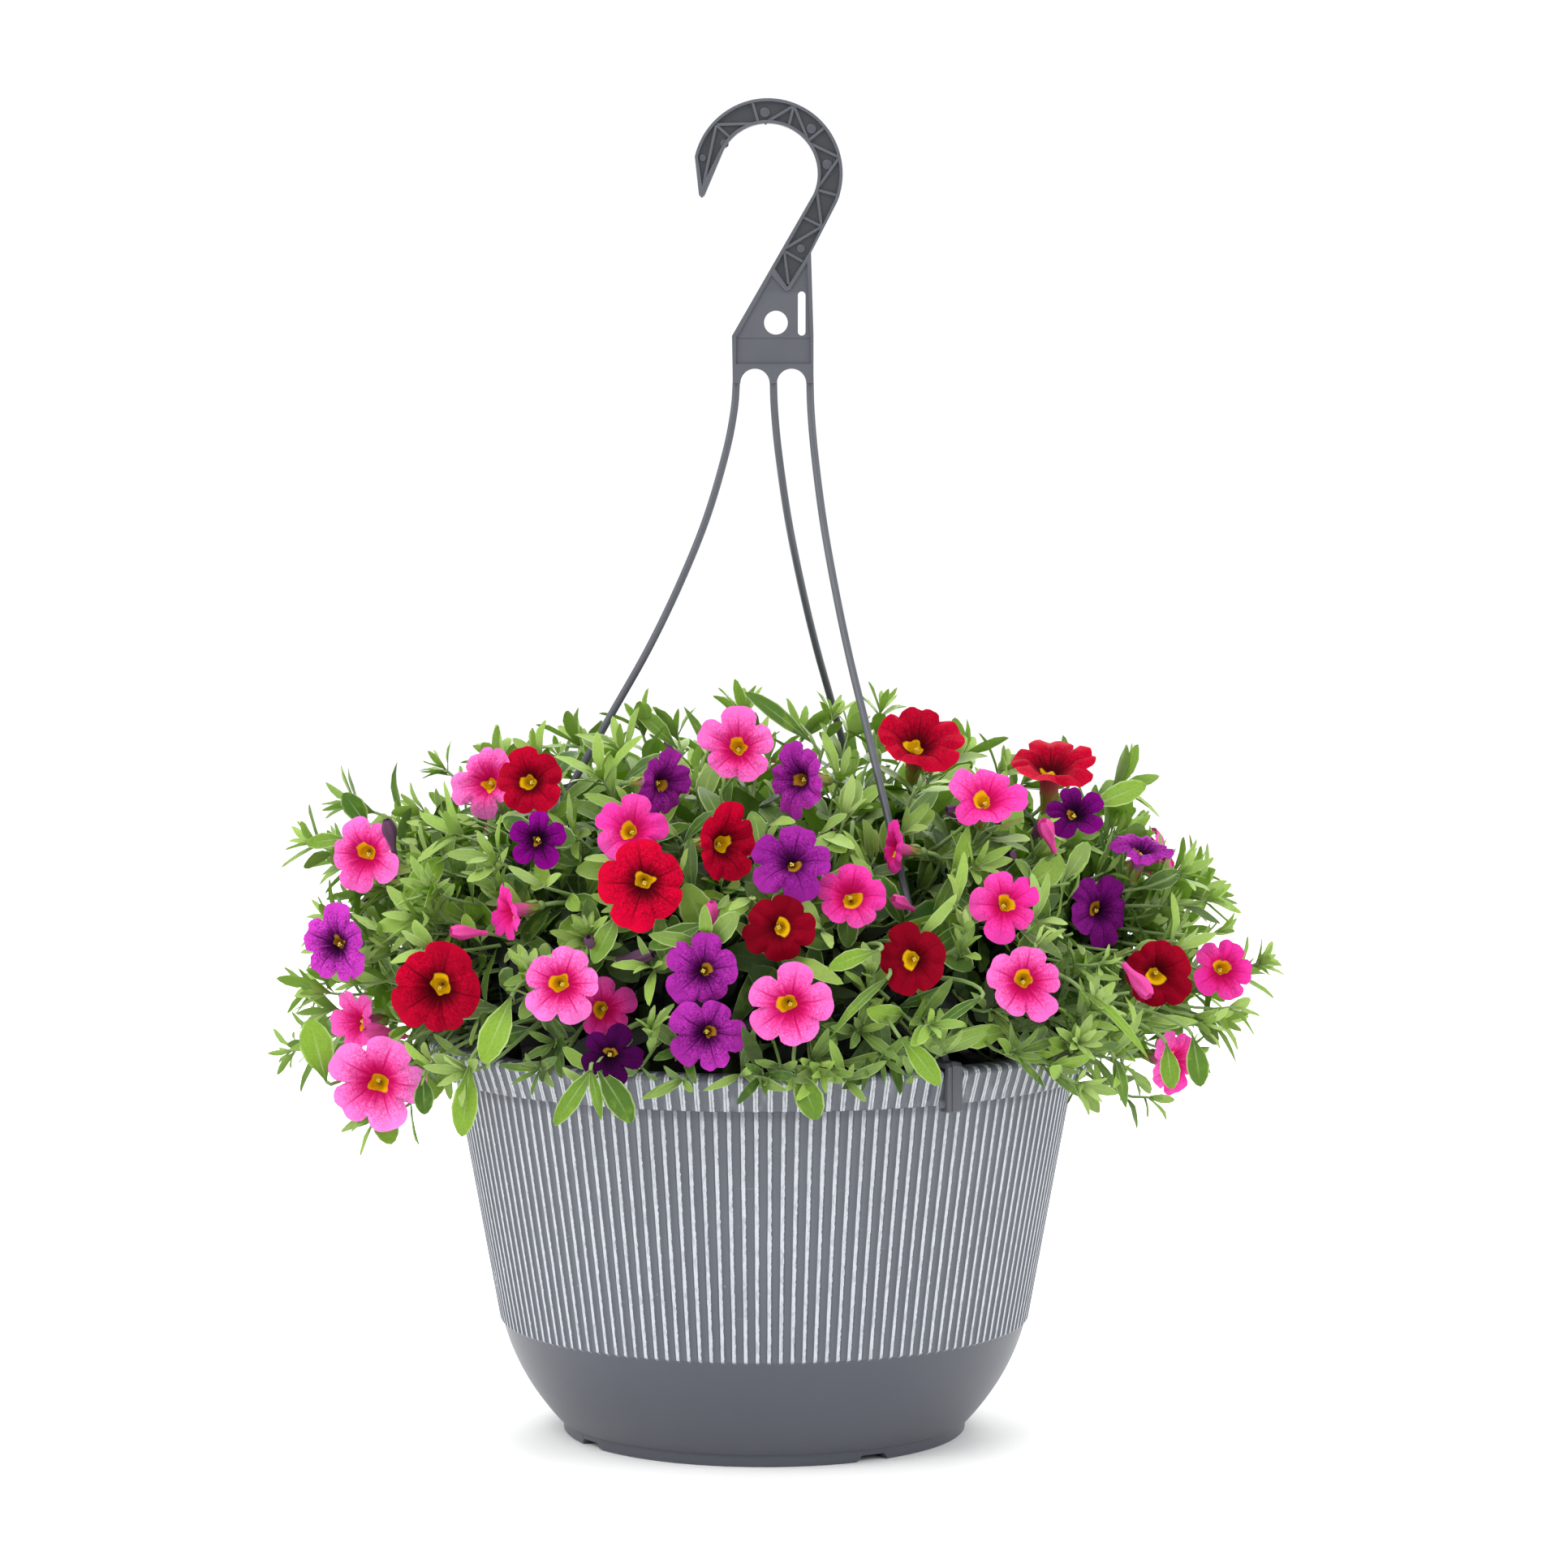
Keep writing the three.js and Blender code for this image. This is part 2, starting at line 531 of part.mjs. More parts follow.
function isClear(solid, others, gap = GAP) {
  const box = solid.boundingBox();
  return others.every((other) => {
    const before = [0, 1, 2].some((k) => box.max[k] < other.box.min[k] - gap);
    const after = [0, 1, 2].some((k) => box.min[k] > other.box.max[k] + gap);
    return before || after || solid.minGap(other.solid, gap) >= gap * 0.999;
  });
}

function obstacle(solid, owner) {
  return { solid, owner, box: solid.boundingBox() };
}

// The dome's radius at an azimuth.
function domeRadius(azimuth, scale) {
  const a = rad(azimuth);
  return scale / Math.hypot(Math.sin(a) / CANOPY.halfX, Math.cos(a) / CANOPY.halfY);
}

// The height of the dome over a point at a radius and azimuth.
function domeHeight(radius, azimuth, scale) {
  const share = Math.min(1, radius / domeRadius(azimuth, scale));
  return CANOPY.baseZ + CANOPY.height * scale * Math.cbrt(1 - share ** 3);
}

// The core of one sector, as rings across it from near the middle out to its edge.
function sectorCore(azimuth) {
  const out = facing(azimuth);
  const across = facing(azimuth + 90);
  const edge = 0.985 * domeRadius(azimuth, CORE.scale);
  const shake = () => between(-CORE.jitter, CORE.jitter);
  const rings = [...CORE_STATIONS, edge].map((radius) => {
    const half = Math.min((CORE.share * Math.PI * radius) / SPRAYS, CORE.halfWidth);
    const top = domeHeight(radius, azimuth, CORE.scale);
    const low = radius === edge ? CORE.edgeLowZ : CORE.lowZ;
    const waist = 0.5 * (low + top);
    const section = [[0.7, low], [1, waist], [0.5, top], [-0.5, top], [-1, waist], [-0.7, low]];
    return section.map(([share, z]) => out.clone().multiplyScalar(radius + shake())
      .addScaledVector(across, half * share).setZ(z + Math.abs(shake())));
  });
  return loftGeometry(rings);
}

function middleCore() {
  const { middleRadius, middleTop } = SPRAY_RING;
  const rings = [[0.8, CORE.lowZ], [1, 200], [0.55, middleTop]].map(([share, z]) => (
    Array.from({ length: 6 }, (_, i) => facing(60 * i).multiplyScalar(middleRadius * share).setZ(z))
  ));
  return loftGeometry(rings);
}

function sprayPlan(index) {
  const middle = index === SPRAYS;
  const azimuth = SPRAY_RING.firstAzimuth + (360 * index) / SPRAYS;
  const centre = facing(azimuth).multiplyScalar(middle ? 0 : SPRAY_RING.radius).setZ(SPRAY_RING.z);
  const core = middle ? middleCore() : sectorCore(azimuth);
  const base = new THREE.LineCurve3(centre.clone().setZ(SOIL.edgeZ - SOIL.holeDepth + 2), centre);
  const name = middle ? "spray_centre" : `spray_${String(index + 1).padStart(2, "0")}`;
  const solids = [solidOf(core), rod(base, STEM.base, 6, 1)];
  return { name, centre, core, solids, twigs: [], leaves: [] };
}

// The spray whose core lies nearest below a point.
function nearestSpray(sprays, point) {
  const distance = (spray) => Math.hypot(spray.centre.x - point.x, spray.centre.y - point.y);
  return sprays.reduce((best, spray) => (distance(spray) < distance(best) ? spray : best));
}

// A twig from inside a spray's core to a point, arriving along a direction, clear of the rest.
function growTwig(spray, end, arrival, obstacles) {
  const away = end.clone().sub(spray.centre);
  for (let attempt = 0; attempt < 60; attempt++) {
    const sway = attempt * 0.6;
    const jitter = () => v3(between(-sway, sway), between(-sway, sway), between(-0.4 * sway, sway));
    const start = spray.centre.clone().addScaledVector(away, 0.3);
    const lift = v3(0, 0, away.length() * 0.18);
    const rise = start.clone().addScaledVector(away, 0.25).add(lift).add(jitter());
    const near = end.clone().addScaledVector(arrival, -away.length() * between(0.18, 0.34));
    const curve = new THREE.CubicBezierCurve3(start, rise, near, end);
    const twig = rod(curve, STEM.twig, STEM.sides, away.length() > 60 ? 4 : 3);
    if (isClear(twig, obstacles.filter((o) => o.owner !== spray.name))) {
      spray.solids.push(twig);
      spray.twigs.push({ curve, solid: twig, length: curve.getLength() });
      obstacles.push(obstacle(twig, spray.name));
      return true;
    }
  }
  return false;
}

// Leaves along a twig by the golden angle, kept where they are clear of everything else.
function leavesAlong(spray, twig, leafLength, obstacles) {
  const count = Math.floor(twig.length / LEAVES.spacing);
  for (let i = 0; i < count; i++) {
    const t = 0.28 + (0.7 * (i + 0.5)) / count;
    const point = twig.curve.getPoint(t);
    const along = twig.curve.getTangent(t);
    const side = v3(0, 0, 1).cross(along).normalize();
    side.applyAxisAngle(along, i * GOLDEN_ANGLE + between(0, 0.6));
    for (let attempt = 0; attempt < 3; attempt++) {
      const direction = side.clone().applyAxisAngle(along, attempt * 0.7);
      direction.addScaledVector(along, between(0.3, 0.9));
      const length = leafLength * between(0.8, 1.15) * (1 - 0.35 * t) * (1 - 0.2 * attempt);
      if (tryLeaf(spray, twig.solid, point, direction, along, length, obstacles)) {
        break;
      }
    }
  }
}

// Adds a leaf that grows from its host, a twig or a core, where it is clear of all else.
function tryLeaf(spray, host, root, direction, up, length, obstacles) {
  const width = Math.max(LEAF.leastWidth, length * LEAF.widthRatio);
  const leaf = leafSolid(root, direction, up, length, width);
  const others = obstacles.filter((o) => o.solid !== host);
  const clear = isClear(leaf, others) && isClear(leaf, spray.leaves, 0.1);
  if (clear) {
    spray.solids.push(leaf);
    spray.leaves.push(obstacle(leaf, spray.name));
  }
  return clear;
}

// Three leaves in a rosette at the end of a shoot.
function tipRosette(spray, twig, leafLength, obstacles) {
  const end = twig.curve.getPoint(0.985);
  const along = twig.curve.getTangent(1);
  const side = v3(0, 0, 1).cross(along).normalize();
  const up = side.clone().sub(along);
  for (let i = 0; i < 3; i++) {
    const direction = side.clone().applyAxisAngle(along, 2.1 * i + 0.5).addScaledVector(along, 1.3);
    tryLeaf(spray, twig.solid, end, direction, up, leafLength * 0.62, obstacles);
  }
}

// Leaves that stand out of a spray's core, spread over its upper and outer sides.
function leavesOverCore(spray, obstacles) {
  const surface = new THREE.Mesh(spray.core);
  const sampler = new MeshSurfaceSampler(surface).setRandomGenerator(random).build();
  const roots = [];
  for (let attempt = 0; attempt < 160 && roots.length < LEAVES.perCore; attempt++) {
    const [root, normal] = [v3(0, 0, 0), v3(0, 0, 0)];
    sampler.sample(root, normal);
    const outward = v3(root.x, root.y, 60).normalize();
    const apart = roots.every((other) => other.distanceTo(root) > LEAVES.apart);
    if (normal.dot(outward) > 0.35 && apart) {
      const stray = v3(between(-0.9, 0.9), between(-0.9, 0.9), between(-0.5, 0.5));
      const lie = outward.add(stray);
      const direction = lie.addScaledVector(normal, -lie.dot(normal)).normalize();
      direction.addScaledVector(normal, 0.65);
      root.addScaledVector(normal, -1.5);
      const length = LEAF.covering * between(0.85, 1.15);
      if (tryLeaf(spray, spray.solids[0], root, direction, normal, length, obstacles)) {
        roots.push(root);
      }
    }
  }
}

// Joins a spray's solids and keeps its one connected body.
function fuse(solids) {
  const bodies = Manifold.union(solids).decompose();
  return bodies.reduce((best, body) => (body.volume() > best.volume() ? body : best));
}

function growSprays(blooms, fixed) {
  const sprays = Array.from({ length: SPRAYS + 1 }, (_, i) => sprayPlan(i));
  const obstacles = fixed.map((solid) => obstacle(solid, "fixed"));
  obstacles.push(...blooms.map((bloom) => obstacle(bloom.solid, "bloom")));
  for (const spray of sprays) {
    obstacles.push(...spray.solids.map((solid) => obstacle(solid, spray.name)));
  }
  for (const bloom of blooms) {
    growTwig(nearestSpray(sprays, bloom.stemEnd), bloom.stemEnd, bloom.axis, obstacles);
  }
  const bloomTwigs = sprays.map((spray) => spray.twigs.length);
  const shoots = [];
  for (const [tip, leafLength] of SHOOTS) {
    const end = v3(...tip);
    const spray = nearestSpray(sprays, end);
    const arrival = v3(tip[0], tip[1], tip[2] - 200).normalize();
    if (growTwig(spray, end, arrival, obstacles)) {
      shoots.push([spray, spray.twigs.at(-1), leafLength]);
    }
  }
  for (const [spray, twig, leafLength] of shoots) {
    tipRosette(spray, twig, leafLength, obstacles.concat(otherLeaves(sprays, spray)));
    leavesAlong(spray, twig, leafLength, obstacles.concat(otherLeaves(sprays, spray)));
  }
  sprays.forEach((spray, i) => {
    for (const twig of spray.twigs.slice(0, bloomTwigs[i])) {
      leavesAlong(spray, twig, LEAF.short, obstacles.concat(otherLeaves(sprays, spray)));
    }
    leavesOverCore(spray, obstacles.concat(otherLeaves(sprays, spray)));
  });
  return sprays;
}

function otherLeaves(sprays, own) {
  return sprays.filter((spray) => spray !== own).flatMap((spray) => spray.leaves);
}

// ---------------------------------------------------------------- soil
function buildSoil(sprays) {
  const side = cavityProfile(SOIL.gap, SOIL.edgeZ);
  const bed = lathe([[0, side[0][1]], ...side, [60, SOIL.topZ - 1], [0, SOIL.topZ]], SOIL.sides);
  const holes = sprays.map((spray) => {
    const geometry = new THREE.CylinderGeometry(SOIL.holeRadius, SOIL.holeRadius, 2 * SOIL.holeDepth, 6);
    return solidOf(geometry.rotateX(Math.PI / 2).translate(spray.centre.x, spray.centre.y, SOIL.edgeZ));
  });
  return Manifold.difference([bed, ...holes]);
}

// ---------------------------------------------------------------- the object
function meshFrom(name, solid, colour) {
  const { vertProperties, triVerts } = solid.getMesh();
  const geometry = new THREE.BufferGeometry();
  geometry.setAttribute("position", new THREE.BufferAttribute(vertProperties, 3));
  geometry.setIndex(new THREE.BufferAttribute(triVerts, 1));
  geometry.computeVertexNormals();
  const [color, roughness] = COLOURS[colour];
  const material = new THREE.MeshStandardMaterial({ color, roughness, metalness: 0 });
  const mesh = new THREE.Mesh(geometry, material);
  mesh.name = name;
  return mesh;
}

function buildBasket() {
  const basket = new THREE.Group();
  const pot = buildPot();
  const hanger = buildHanger();
  const blooms = placeBlooms();
  const sprays = growSprays(blooms, [pot, hanger]);
  basket.add(meshFrom("pot", pot, "pot"), meshFrom("hanger", hanger, "hanger"));
  basket.add(meshFrom("soil", buildSoil(sprays), "soil"));
  for (const spray of sprays) {
    basket.add(meshFrom(spray.name, fuse(spray.solids), "leaf"));
  }
  for (const node of new Set(blooms.map((bloom) => bloom.node))) {
    const members = blooms.filter((bloom) => bloom.node === node);
    const joined = fuse(members.map((bloom) => bloom.solid));
    basket.add(meshFrom(`bloom_${node}`, joined, members[0].colour));
  }
  return basket;
}

export default buildBasket();
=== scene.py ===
import math
from collections import namedtuple
from types import SimpleNamespace as Sizes

import bmesh
import bpy
import numpy as np
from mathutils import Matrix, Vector


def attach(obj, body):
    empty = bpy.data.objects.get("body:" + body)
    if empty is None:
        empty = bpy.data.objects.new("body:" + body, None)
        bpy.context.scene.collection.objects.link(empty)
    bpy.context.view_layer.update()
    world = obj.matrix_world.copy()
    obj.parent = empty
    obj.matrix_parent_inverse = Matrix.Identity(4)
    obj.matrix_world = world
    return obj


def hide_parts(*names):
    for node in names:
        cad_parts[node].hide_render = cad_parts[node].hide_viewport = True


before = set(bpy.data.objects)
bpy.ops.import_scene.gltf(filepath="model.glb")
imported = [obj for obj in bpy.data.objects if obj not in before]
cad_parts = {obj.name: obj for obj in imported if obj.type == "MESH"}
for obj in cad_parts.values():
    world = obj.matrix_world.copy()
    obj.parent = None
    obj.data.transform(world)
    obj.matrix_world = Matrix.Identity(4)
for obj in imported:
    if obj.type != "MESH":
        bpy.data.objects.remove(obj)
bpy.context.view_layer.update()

MM = 0.001
SEED = 2718
TURN = 2 * math.pi
GOLDEN = 2.39996
SIDES = 96

# ---------------------------------------------------------------- driving dimensions, in millimetres
WALL = 2.4
FOOT = Sizes(radius=80.6, inner=74.0, height=5.2, floor_low=3.2, floor_top=5.8, floor_radius=77.6)
NOTCH = Sizes(first=32.0, bottom=15.0, top=10.0, height=2.6)
DRAIN = Sizes(count=8, radius=5.0, ring=60.0, band=9.0)
BOWL = [(82.3, 5.2), (99.1, 23.1), (104.7, 44.6)]
BODY = Sizes(bottom_z=46.0, bottom_radius=106.0, slope=0.181)
RIM = Sizes(low_z=145.6, low_radius=130.8, high_z=157.4, radius=135.0, top_z=159.8, lip=126.0)
RIBS = Sizes(count=150, depth=0.8)
# Across one rib: share of the pitch from the crest's middle, and height from groove to crest.
RIB_SECTION = [(-0.17, 0.96), (0.0, 1.0), (0.17, 0.96), (0.25, 0.35), (0.33, 0.0), (0.67, 0.0), (0.75, 0.35)]
SOIL = Sizes(edge_z=145.0, top_z=148.0, radius=120.5, rings=30, hump=1.2, crumb=0.7)
SOIL_BELOW = [(117.0, 130.0), (100.0, 40.0), (76.0, 7.0), (0.5, 7.0)]

HOOK = Sizes(x=1.5, z=501.0, outer=29.6, inner=19.7, outer_arc=(167, -22), inner_arc=(-24, 152))
# The hook's thicknesses along Y, with the widths of its flange and its ribs.
HOOK_SECTION = Sizes(
    depth=6.4, web=2.6, rib=5.4, boss=4.2, field=4.6, low_field=3.9, flange=1.3, rib_width=1.1,
)
HOOK_TIP = [(-23.5, 492.4), (-24.6, 491.5), (-25.7, 492.6)]
CHANNEL_TIP = (-24.4, 496.4)
CHANNEL_FOOT = [(17.4, 469.4), (9.2, 456.4), (8.6, 457.4), (4.3, 463.6)]
PLATE = Sizes(left=-12.4, right=19.6, bottom=418.4, fold_z=437.2, flare=0.3)
SHOULDER = (18.6, 469.9)
ARCH = Sizes(centres=(10.9, -3.6), radius=5.8)
PLATE_HOLE = Sizes(x=4.7, z=442.4, radius=4.7)
PLATE_SLOT = Sizes(x=14.9, low=438.8, high=453.2, width=3.0, border=1.2)
# The plate's pocket between its flanges, and the two flat fields in it that meet at the fold.
PLATE_POCKET = [
    (-9.6, 438.6), (3.0, 461.0), (7.4, 456.0), (8.7, 454.6), (10.4, 455.4), (17.0, 466.0), (18.0, 438.6),
    (18.4, 436.9), (18.5, 426.2), (-11.1, 426.2), (-10.9, 436.9),
]
UPPER_FIELD = [
    (-11.0, 436.4), (-10.6, 438.0), (2.9, 461.8), (7.6, 456.4), (8.7, 455.2), (10.1, 456.0), (17.2, 467.2),
    (18.9, 436.4),
]
LOWER_FIELD = [(-11.6, 436.8), (18.9, 436.8), (19.0, 425.7), (-11.6, 425.7)]
HOOK_RIBS = [
    ((-24.6, 493.4), (-18.8, 520)), ((-18.8, 520), (-13.4, 515.2)), ((-18.8, 520.2), (-2.9, 520.6)),
    ((-4.5, 528.9), (-2.1, 520.6)), ((0.2, 520.6), (11.8, 527.6)), ((11.8, 527.6), (9.6, 519)),
    ((11.8, 527.6), (17.7, 513.4)), ((16.9, 513.4), (23.9, 519)), ((18.6, 512.6), (29.8, 507.3)),
    ((29.8, 507.3), (21, 495.2)), ((21, 494.6), (29.8, 492.2)), ((20.8, 494.6), (22.7, 480.6)),
    ((15.2, 484), (23.2, 480)), ((8, 471.4), (22.9, 480.2)), ((8, 470.6), (15.4, 466.4)),
    ((8, 470.6), (9.7, 457.5)),
]
BOSSES = [
    (0.4, 525.0, 2.0), (18.7, 518.6, 2.0), (24.9, 504.6, 2.0), (-15.6, 512.8, 1.7), (-24.2, 507.2, 1.4),
    (14.6, 471.6, 1.7), (4.9, 459.7, 1.8), (16.3, 456.9, 1.7), (10.6, 439.4, 1.5),
]
ARM = Sizes(starts=(-10.9, 18.15, 3.65), azimuths=(-84.7, 31.9, 152.0), radius=1.5, reach=131.2)
# An arm's height, and how much of its reach it has there.
ARM_BOW = [
    (421, 0), (408, 0.008), (390.4, 0.037), (364.7, 0.101), (338.9, 0.189),
    (313, 0.294), (287.1, 0.417), (267.7, 0.508), (216, 0.749), (161.4, 1),
]
CLIP = Sizes(width=7.0, top=162.4, low=144.9, out=137.6, lip=1.2, leg=153.0, rib=3.2, raised=0.5, slack=0.35)

CANOPY = Sizes(half_x=182.0, half_y=152.0, height=112.0, base_z=168.0)
SPRAYS = 12
SPRAY_RING = Sizes(radius=68.0, z=186.0, first=18.5)
SPRAY_FOOT = SOIL.edge_z - 8

# Blooms of each colour: letter, place of the face, width, turn from the front, lift, both in degrees, and
# how deep the petals are, from pale 0 to hot 1, or None where that is drawn at random.
BLOOMS = {
    "red": [
        ("a", -90, -74, 266, 29, -12, 12, 0.4), ("b", -123, -113, 190, 39, -6, 0, 0.3),
        ("c", -44, -141, 233, 35.5, 2, 2, 0.1), ("d", -14, -112, 245, 32, 42, 4, 0.2),
        ("e", 6, -147, 217, 28, 0, 2, 0.95), ("f", 56, -145, 205, 28.5, -8, 4, 1),
        ("g", 61, -10, 277, 37, 8, 48, 0.35), ("h", 114, -10, 268, 38, 6, 62, 0.2),
        ("i", 152, -76, 192, 30, 10, 4, 0.8),
    ],
    "pink": [
        ("a", -110, -20, 262, 32, -30, 16, 0.3), ("b", -155, -54, 236, 31, -16, 6, 0.35),
        ("c", -148, -92, 152, 37, -4, 0, 0.1), ("d", -75, -139, 195, 31, 0, 6, 0.25),
        ("e", -50, -105, 250, 29, -4, 22, 0.85), ("f", -10, -63, 278, 31, -4, 14, 0.35),
        ("g", 33, -126, 227, 29, 4, 18, 0.8), ("h", 10, -157, 189, 33, -4, -4, 0.45),
        ("i", 85, -90, 261, 31, 6, 40, 0.75), ("j", 91, -122, 223, 28, 8, 10, 0.95),
        ("k", 98, -133, 195, 31, 6, 4, 0.4), ("l", 180, -40, 189, 27.5, 14, 6, 1),
        ("m", -97, -110, 219, 24, -62, -8, 1), ("n", 49, -84, 241, 22, -68, 8, 1),
        ("o", -60, -117, 183, 25, 6, 4, None), ("p", -162, -20, 166, 27, -50, 0, None),
        ("q", 162, -36, 152, 29, 42, -6, None),
    ],
    "violet": [
        ("a", -166, -66, 202, 31, -26, 4, 0), ("b", -38, -84, 266, 29, 44, 2, 0.6),
        ("c", 13, -78, 267, 30, -42, 4, 0.4), ("d", 11, -133, 241, 31, 2, 30, 0.65),
        ("e", -22, -147, 201, 29.5, 2, 6, 0.4), ("e", -21, -147.5, 177.5, 29.5, -2, -8, 0.4),
        ("f", 148, -46, 238, 26.5, 30, 64, 0.5), ("g", 131, -52, 214, 29, 22, 10, 0.8),
    ],
    "plum": [
        ("a", -85, -114, 247, 23, -2, 4, 0.1), ("b", -57, -147, 169, 25, 0, -6, 1),
        ("c", 120, -74, 254, 24, 10, 34, 0.5),
    ],
}
# Pairs of blooms round the back: node, azimuth, height and lift.
BACK_PAIRS = [
    ("pink_back_a", 104, 226, 20), ("red_back_a", 127, 186, 6), ("violet_back_a", 143, 244, 34),
    ("pink_back_b", 167, 196, 8), ("red_back_b", 186, 250, 36), ("violet_back_b", 208, 190, 4),
    ("pink_back_c", 226, 240, 30), ("plum_back_a", 250, 204, 12),
]
BACK = Sizes(scale=0.97, size=30.0, spread=10.5, fan=12.0)
# The length of a bloom's tube, as a share of its width.
TUBE = 0.62
# Tips of the shoots that reach furthest, with their leaf length.
SHOOTS = [
    (-198, 92, 140, 18), (-182, 56, 148, 27), (-179, -14, 237, 22), (-168, 42, 248, 24), (-129, 20, 264, 18),
    (-84, 58, 266, 20), (-50, 24, 280, 26), (-8, 26, 285, 26), (27, -14, 288, 18), (47, 30, 287, 20),
    (143, 24, 256, 30), (183, 24, 220, 18), (188, -58, 195, 19), (186, -50, 176, 20), (170, 10, 150, 22),
    (142, -90, 156, 20), (-152, -72, 136, 22), (-112, -124, 160, 24), (-66, -156, 158, 22),
    (22, -150, 164, 20), (62, -156, 182, 24), (118, -142, 158, 22), (90, 110, 250, 22), (150, 100, 196, 20),
    (100, 155, 160, 22), (20, 167, 168, 24), (-60, 164, 182, 22), (-140, 124, 176, 22), (-60, 110, 255, 22),
    (162, -56, 229, 20), (174, -50, 218, 18), (128, -108, 199, 20), (143, -104, 186, 18),
    (158, -84, 166, 20), (170, -72, 172, 20), (166, -62, 148, 18), (148, -92, 146, 18), (178, -50, 205, 18),
    (-150, -40, 222, 20), (-134, -60, 226, 20), (-128, -80, 208, 20), (-158, -60, 186, 20),
    (-138, -104, 158, 22), (-112, -60, 250, 18), (-130, -40, 246, 18),
]
# Tips of the shoots with long, narrow leaves that arch over the rim, low on the right of the front.
SLIM_TIPS = [
    (-8, -146, 162), (6, -148, 158), (18, -147, 166), (31, -147, 160), (44, -144, 168), (56, -143, 161),
    (68, -139, 169), (80, -137, 162), (94, -132, 168), (106, -126, 162), (118, -118, 168), (36, -140, 178),
    (60, -136, 182), (86, -126, 184), (-30, -146, 160), (-46, -143, 164), (-84, -132, 162), (112, -112, 184),
]
# Tips that close the bush over its middle.
MIDDLE_TIPS = [(-18, -20, 256), (-42, -26, 254), (8, -32, 254), (-28, 8, 262)]
# Pale, downy rosettes in front: place, direction and leaf length.
ROSETTES = [
    ((-42, -146, 179), (0, -0.3, 1), 20), ((41, -140, 199), (0.1, -0.5, 1), 20),
    ((-18, -124, 218), (0.1, -0.3, 1), 18), ((-87, -128, 198), (0, -0.4, 1), 19),
    ((124, -120, 184), (0.7, -0.5, 0.8), 21), ((102, -134, 210), (0, -0.5, 1), 16),
    ((76, -128, 214), (0.2, -0.4, 1), 17), ((-66, -122, 212), (-0.2, -0.5, 1), 16),
    ((34, -92, 252), (0.1, -0.4, 1), 16), ((-104, -92, 232), (-0.3, -0.4, 1), 17),
    ((118, -130, 172), (0.3, -0.7, 0.2), 18), ((196, -24, 190), (1, -0.2, 0.5), 18),
    ((-128, -90, 224), (-0.3, -0.3, 1), 16),
]
# Single leaves that stand out: root, tip, width and bend.
LONE_LEAVES = [
    ((20, 10, 274), (-7, 10, 295), 8, 0.35), ((-35, 20, 272), (-52, 20, 288), 9.5, 0.3),
    ((-22, 15, 272), (-32, 15, 289), 4.5, 0.2), ((128, -40, 253), (149, -42, 262), 10.5, 0.3),
    ((-168, -84, 151), (-174, -85, 175), 13.5, 0.2), ((-110, -128, 164), (-113, -131, 137), 10.5, 0.3),
    ((-62, -146, 166), (-77, -150, 144), 7.5, 0.4), ((-62, -146, 165), (-49, -150, 145), 11, 0.4),
    ((-64, -148, 164), (-60, -152, 146), 4.5, 0.3), ((12, -152, 165), (20, -156, 147), 11, 0.5),
    ((51, -154, 177), (65, -158, 160), 9.5, 0.5), ((46, -148, 198), (26, -154, 178), 4.5, 1.2),
    ((81, -148, 191), (61, -154, 177), 4.5, 1.1), ((120, -124, 191), (144, -128, 166), 4.5, 1),
    ((-163, -30, 240), (-180, -30, 238), 6.5, 0.2), ((-156, -20, 243), (-166, -20, 257), 9, 0.2),
    ((-141, -68, 214), (-125, -72, 236), 11, 0.5), ((-138, -78, 211), (-120, -82, 227), 11, 0.3),
    ((-94, -134, 190), (-104, -140, 166), 12, 0.4), ((-54, -131, 221), (-63, -137, 203), 9.5, 0.4),
    ((-20, -136, 218), (-42, -142, 209), 8, 0.4), ((43, -150, 209), (25, -156, 203), 7, 0.6),
    ((-149, -82, 143), (-143, -84, 127), 10, 0.3), ((-130, -97, 155), (-129, -102, 141), 8, 0.3),
    ((154, -92, 167), (156, -96, 150), 8, 0.3), ((164, -92, 170), (167, -96, 151), 9, 0.3),
    ((133, -115, 164), (137, -119, 146), 6, 0.3), ((-132, -50, 166), (-137, -58, 146), 11, 0.3),
    ((-124, -60, 162), (-128, -70, 142), 10, 0.3), ((-138, -40, 162), (-146, -46, 144), 10, 0.3),
]
# Buds and half-open or wilted blooms of each colour: place of the tip, direction and length.
BUDS = {
    "pink": [
        ((147, -100, 186), (0.5, -0.6, -0.6), 18), ((-118, -112, 212), (-0.9, -0.5, 0.1), 15),
        ((49, -117, 225), (-0.6, -0.8, 0.4), 14), ((-19, -139, 226), (0, -0.5, 0.9), 13),
        ((-155, -60, 168), (-0.8, -0.5, 0.2), 18), ((107, -86, 252), (-0.3, -0.6, 0.8), 17),
        ((118, 40, 262), (0.3, 0.4, 0.9), 15), ((30, 128, 232), (0.1, 0.9, 0.4), 15),
        ((150, 70, 214), (0.8, 0.4, 0.3), 15),
    ],
    "violet": [
        ((-146, -60, 250), (-0.2, -0.3, 1), 15), ((-41, -136, 206), (0.9, -0.5, 0.2), 16),
        ((93, -94, 240), (-0.3, -0.8, 0.5), 15), ((108, -77, 250), (0.4, -0.8, 0.6), 14),
        ((70, -85, 256), (-0.8, -0.6, 0.2), 13), ((-65, -140, 213), (-0.1, -0.7, 0.5), 11),
        ((-40, 70, 272), (-0.2, 0.5, 0.8), 15), ((-120, 100, 216), (-0.6, 0.7, 0.3), 15),
        ((-4, 20, 284), (0.2, 0.1, 1), 13),
    ],
}

OUTER_SHOOTS, INNER_SHOOTS, CORE_SHOOTS, SIDE_SHOOTS = 180, 110, 40, 52
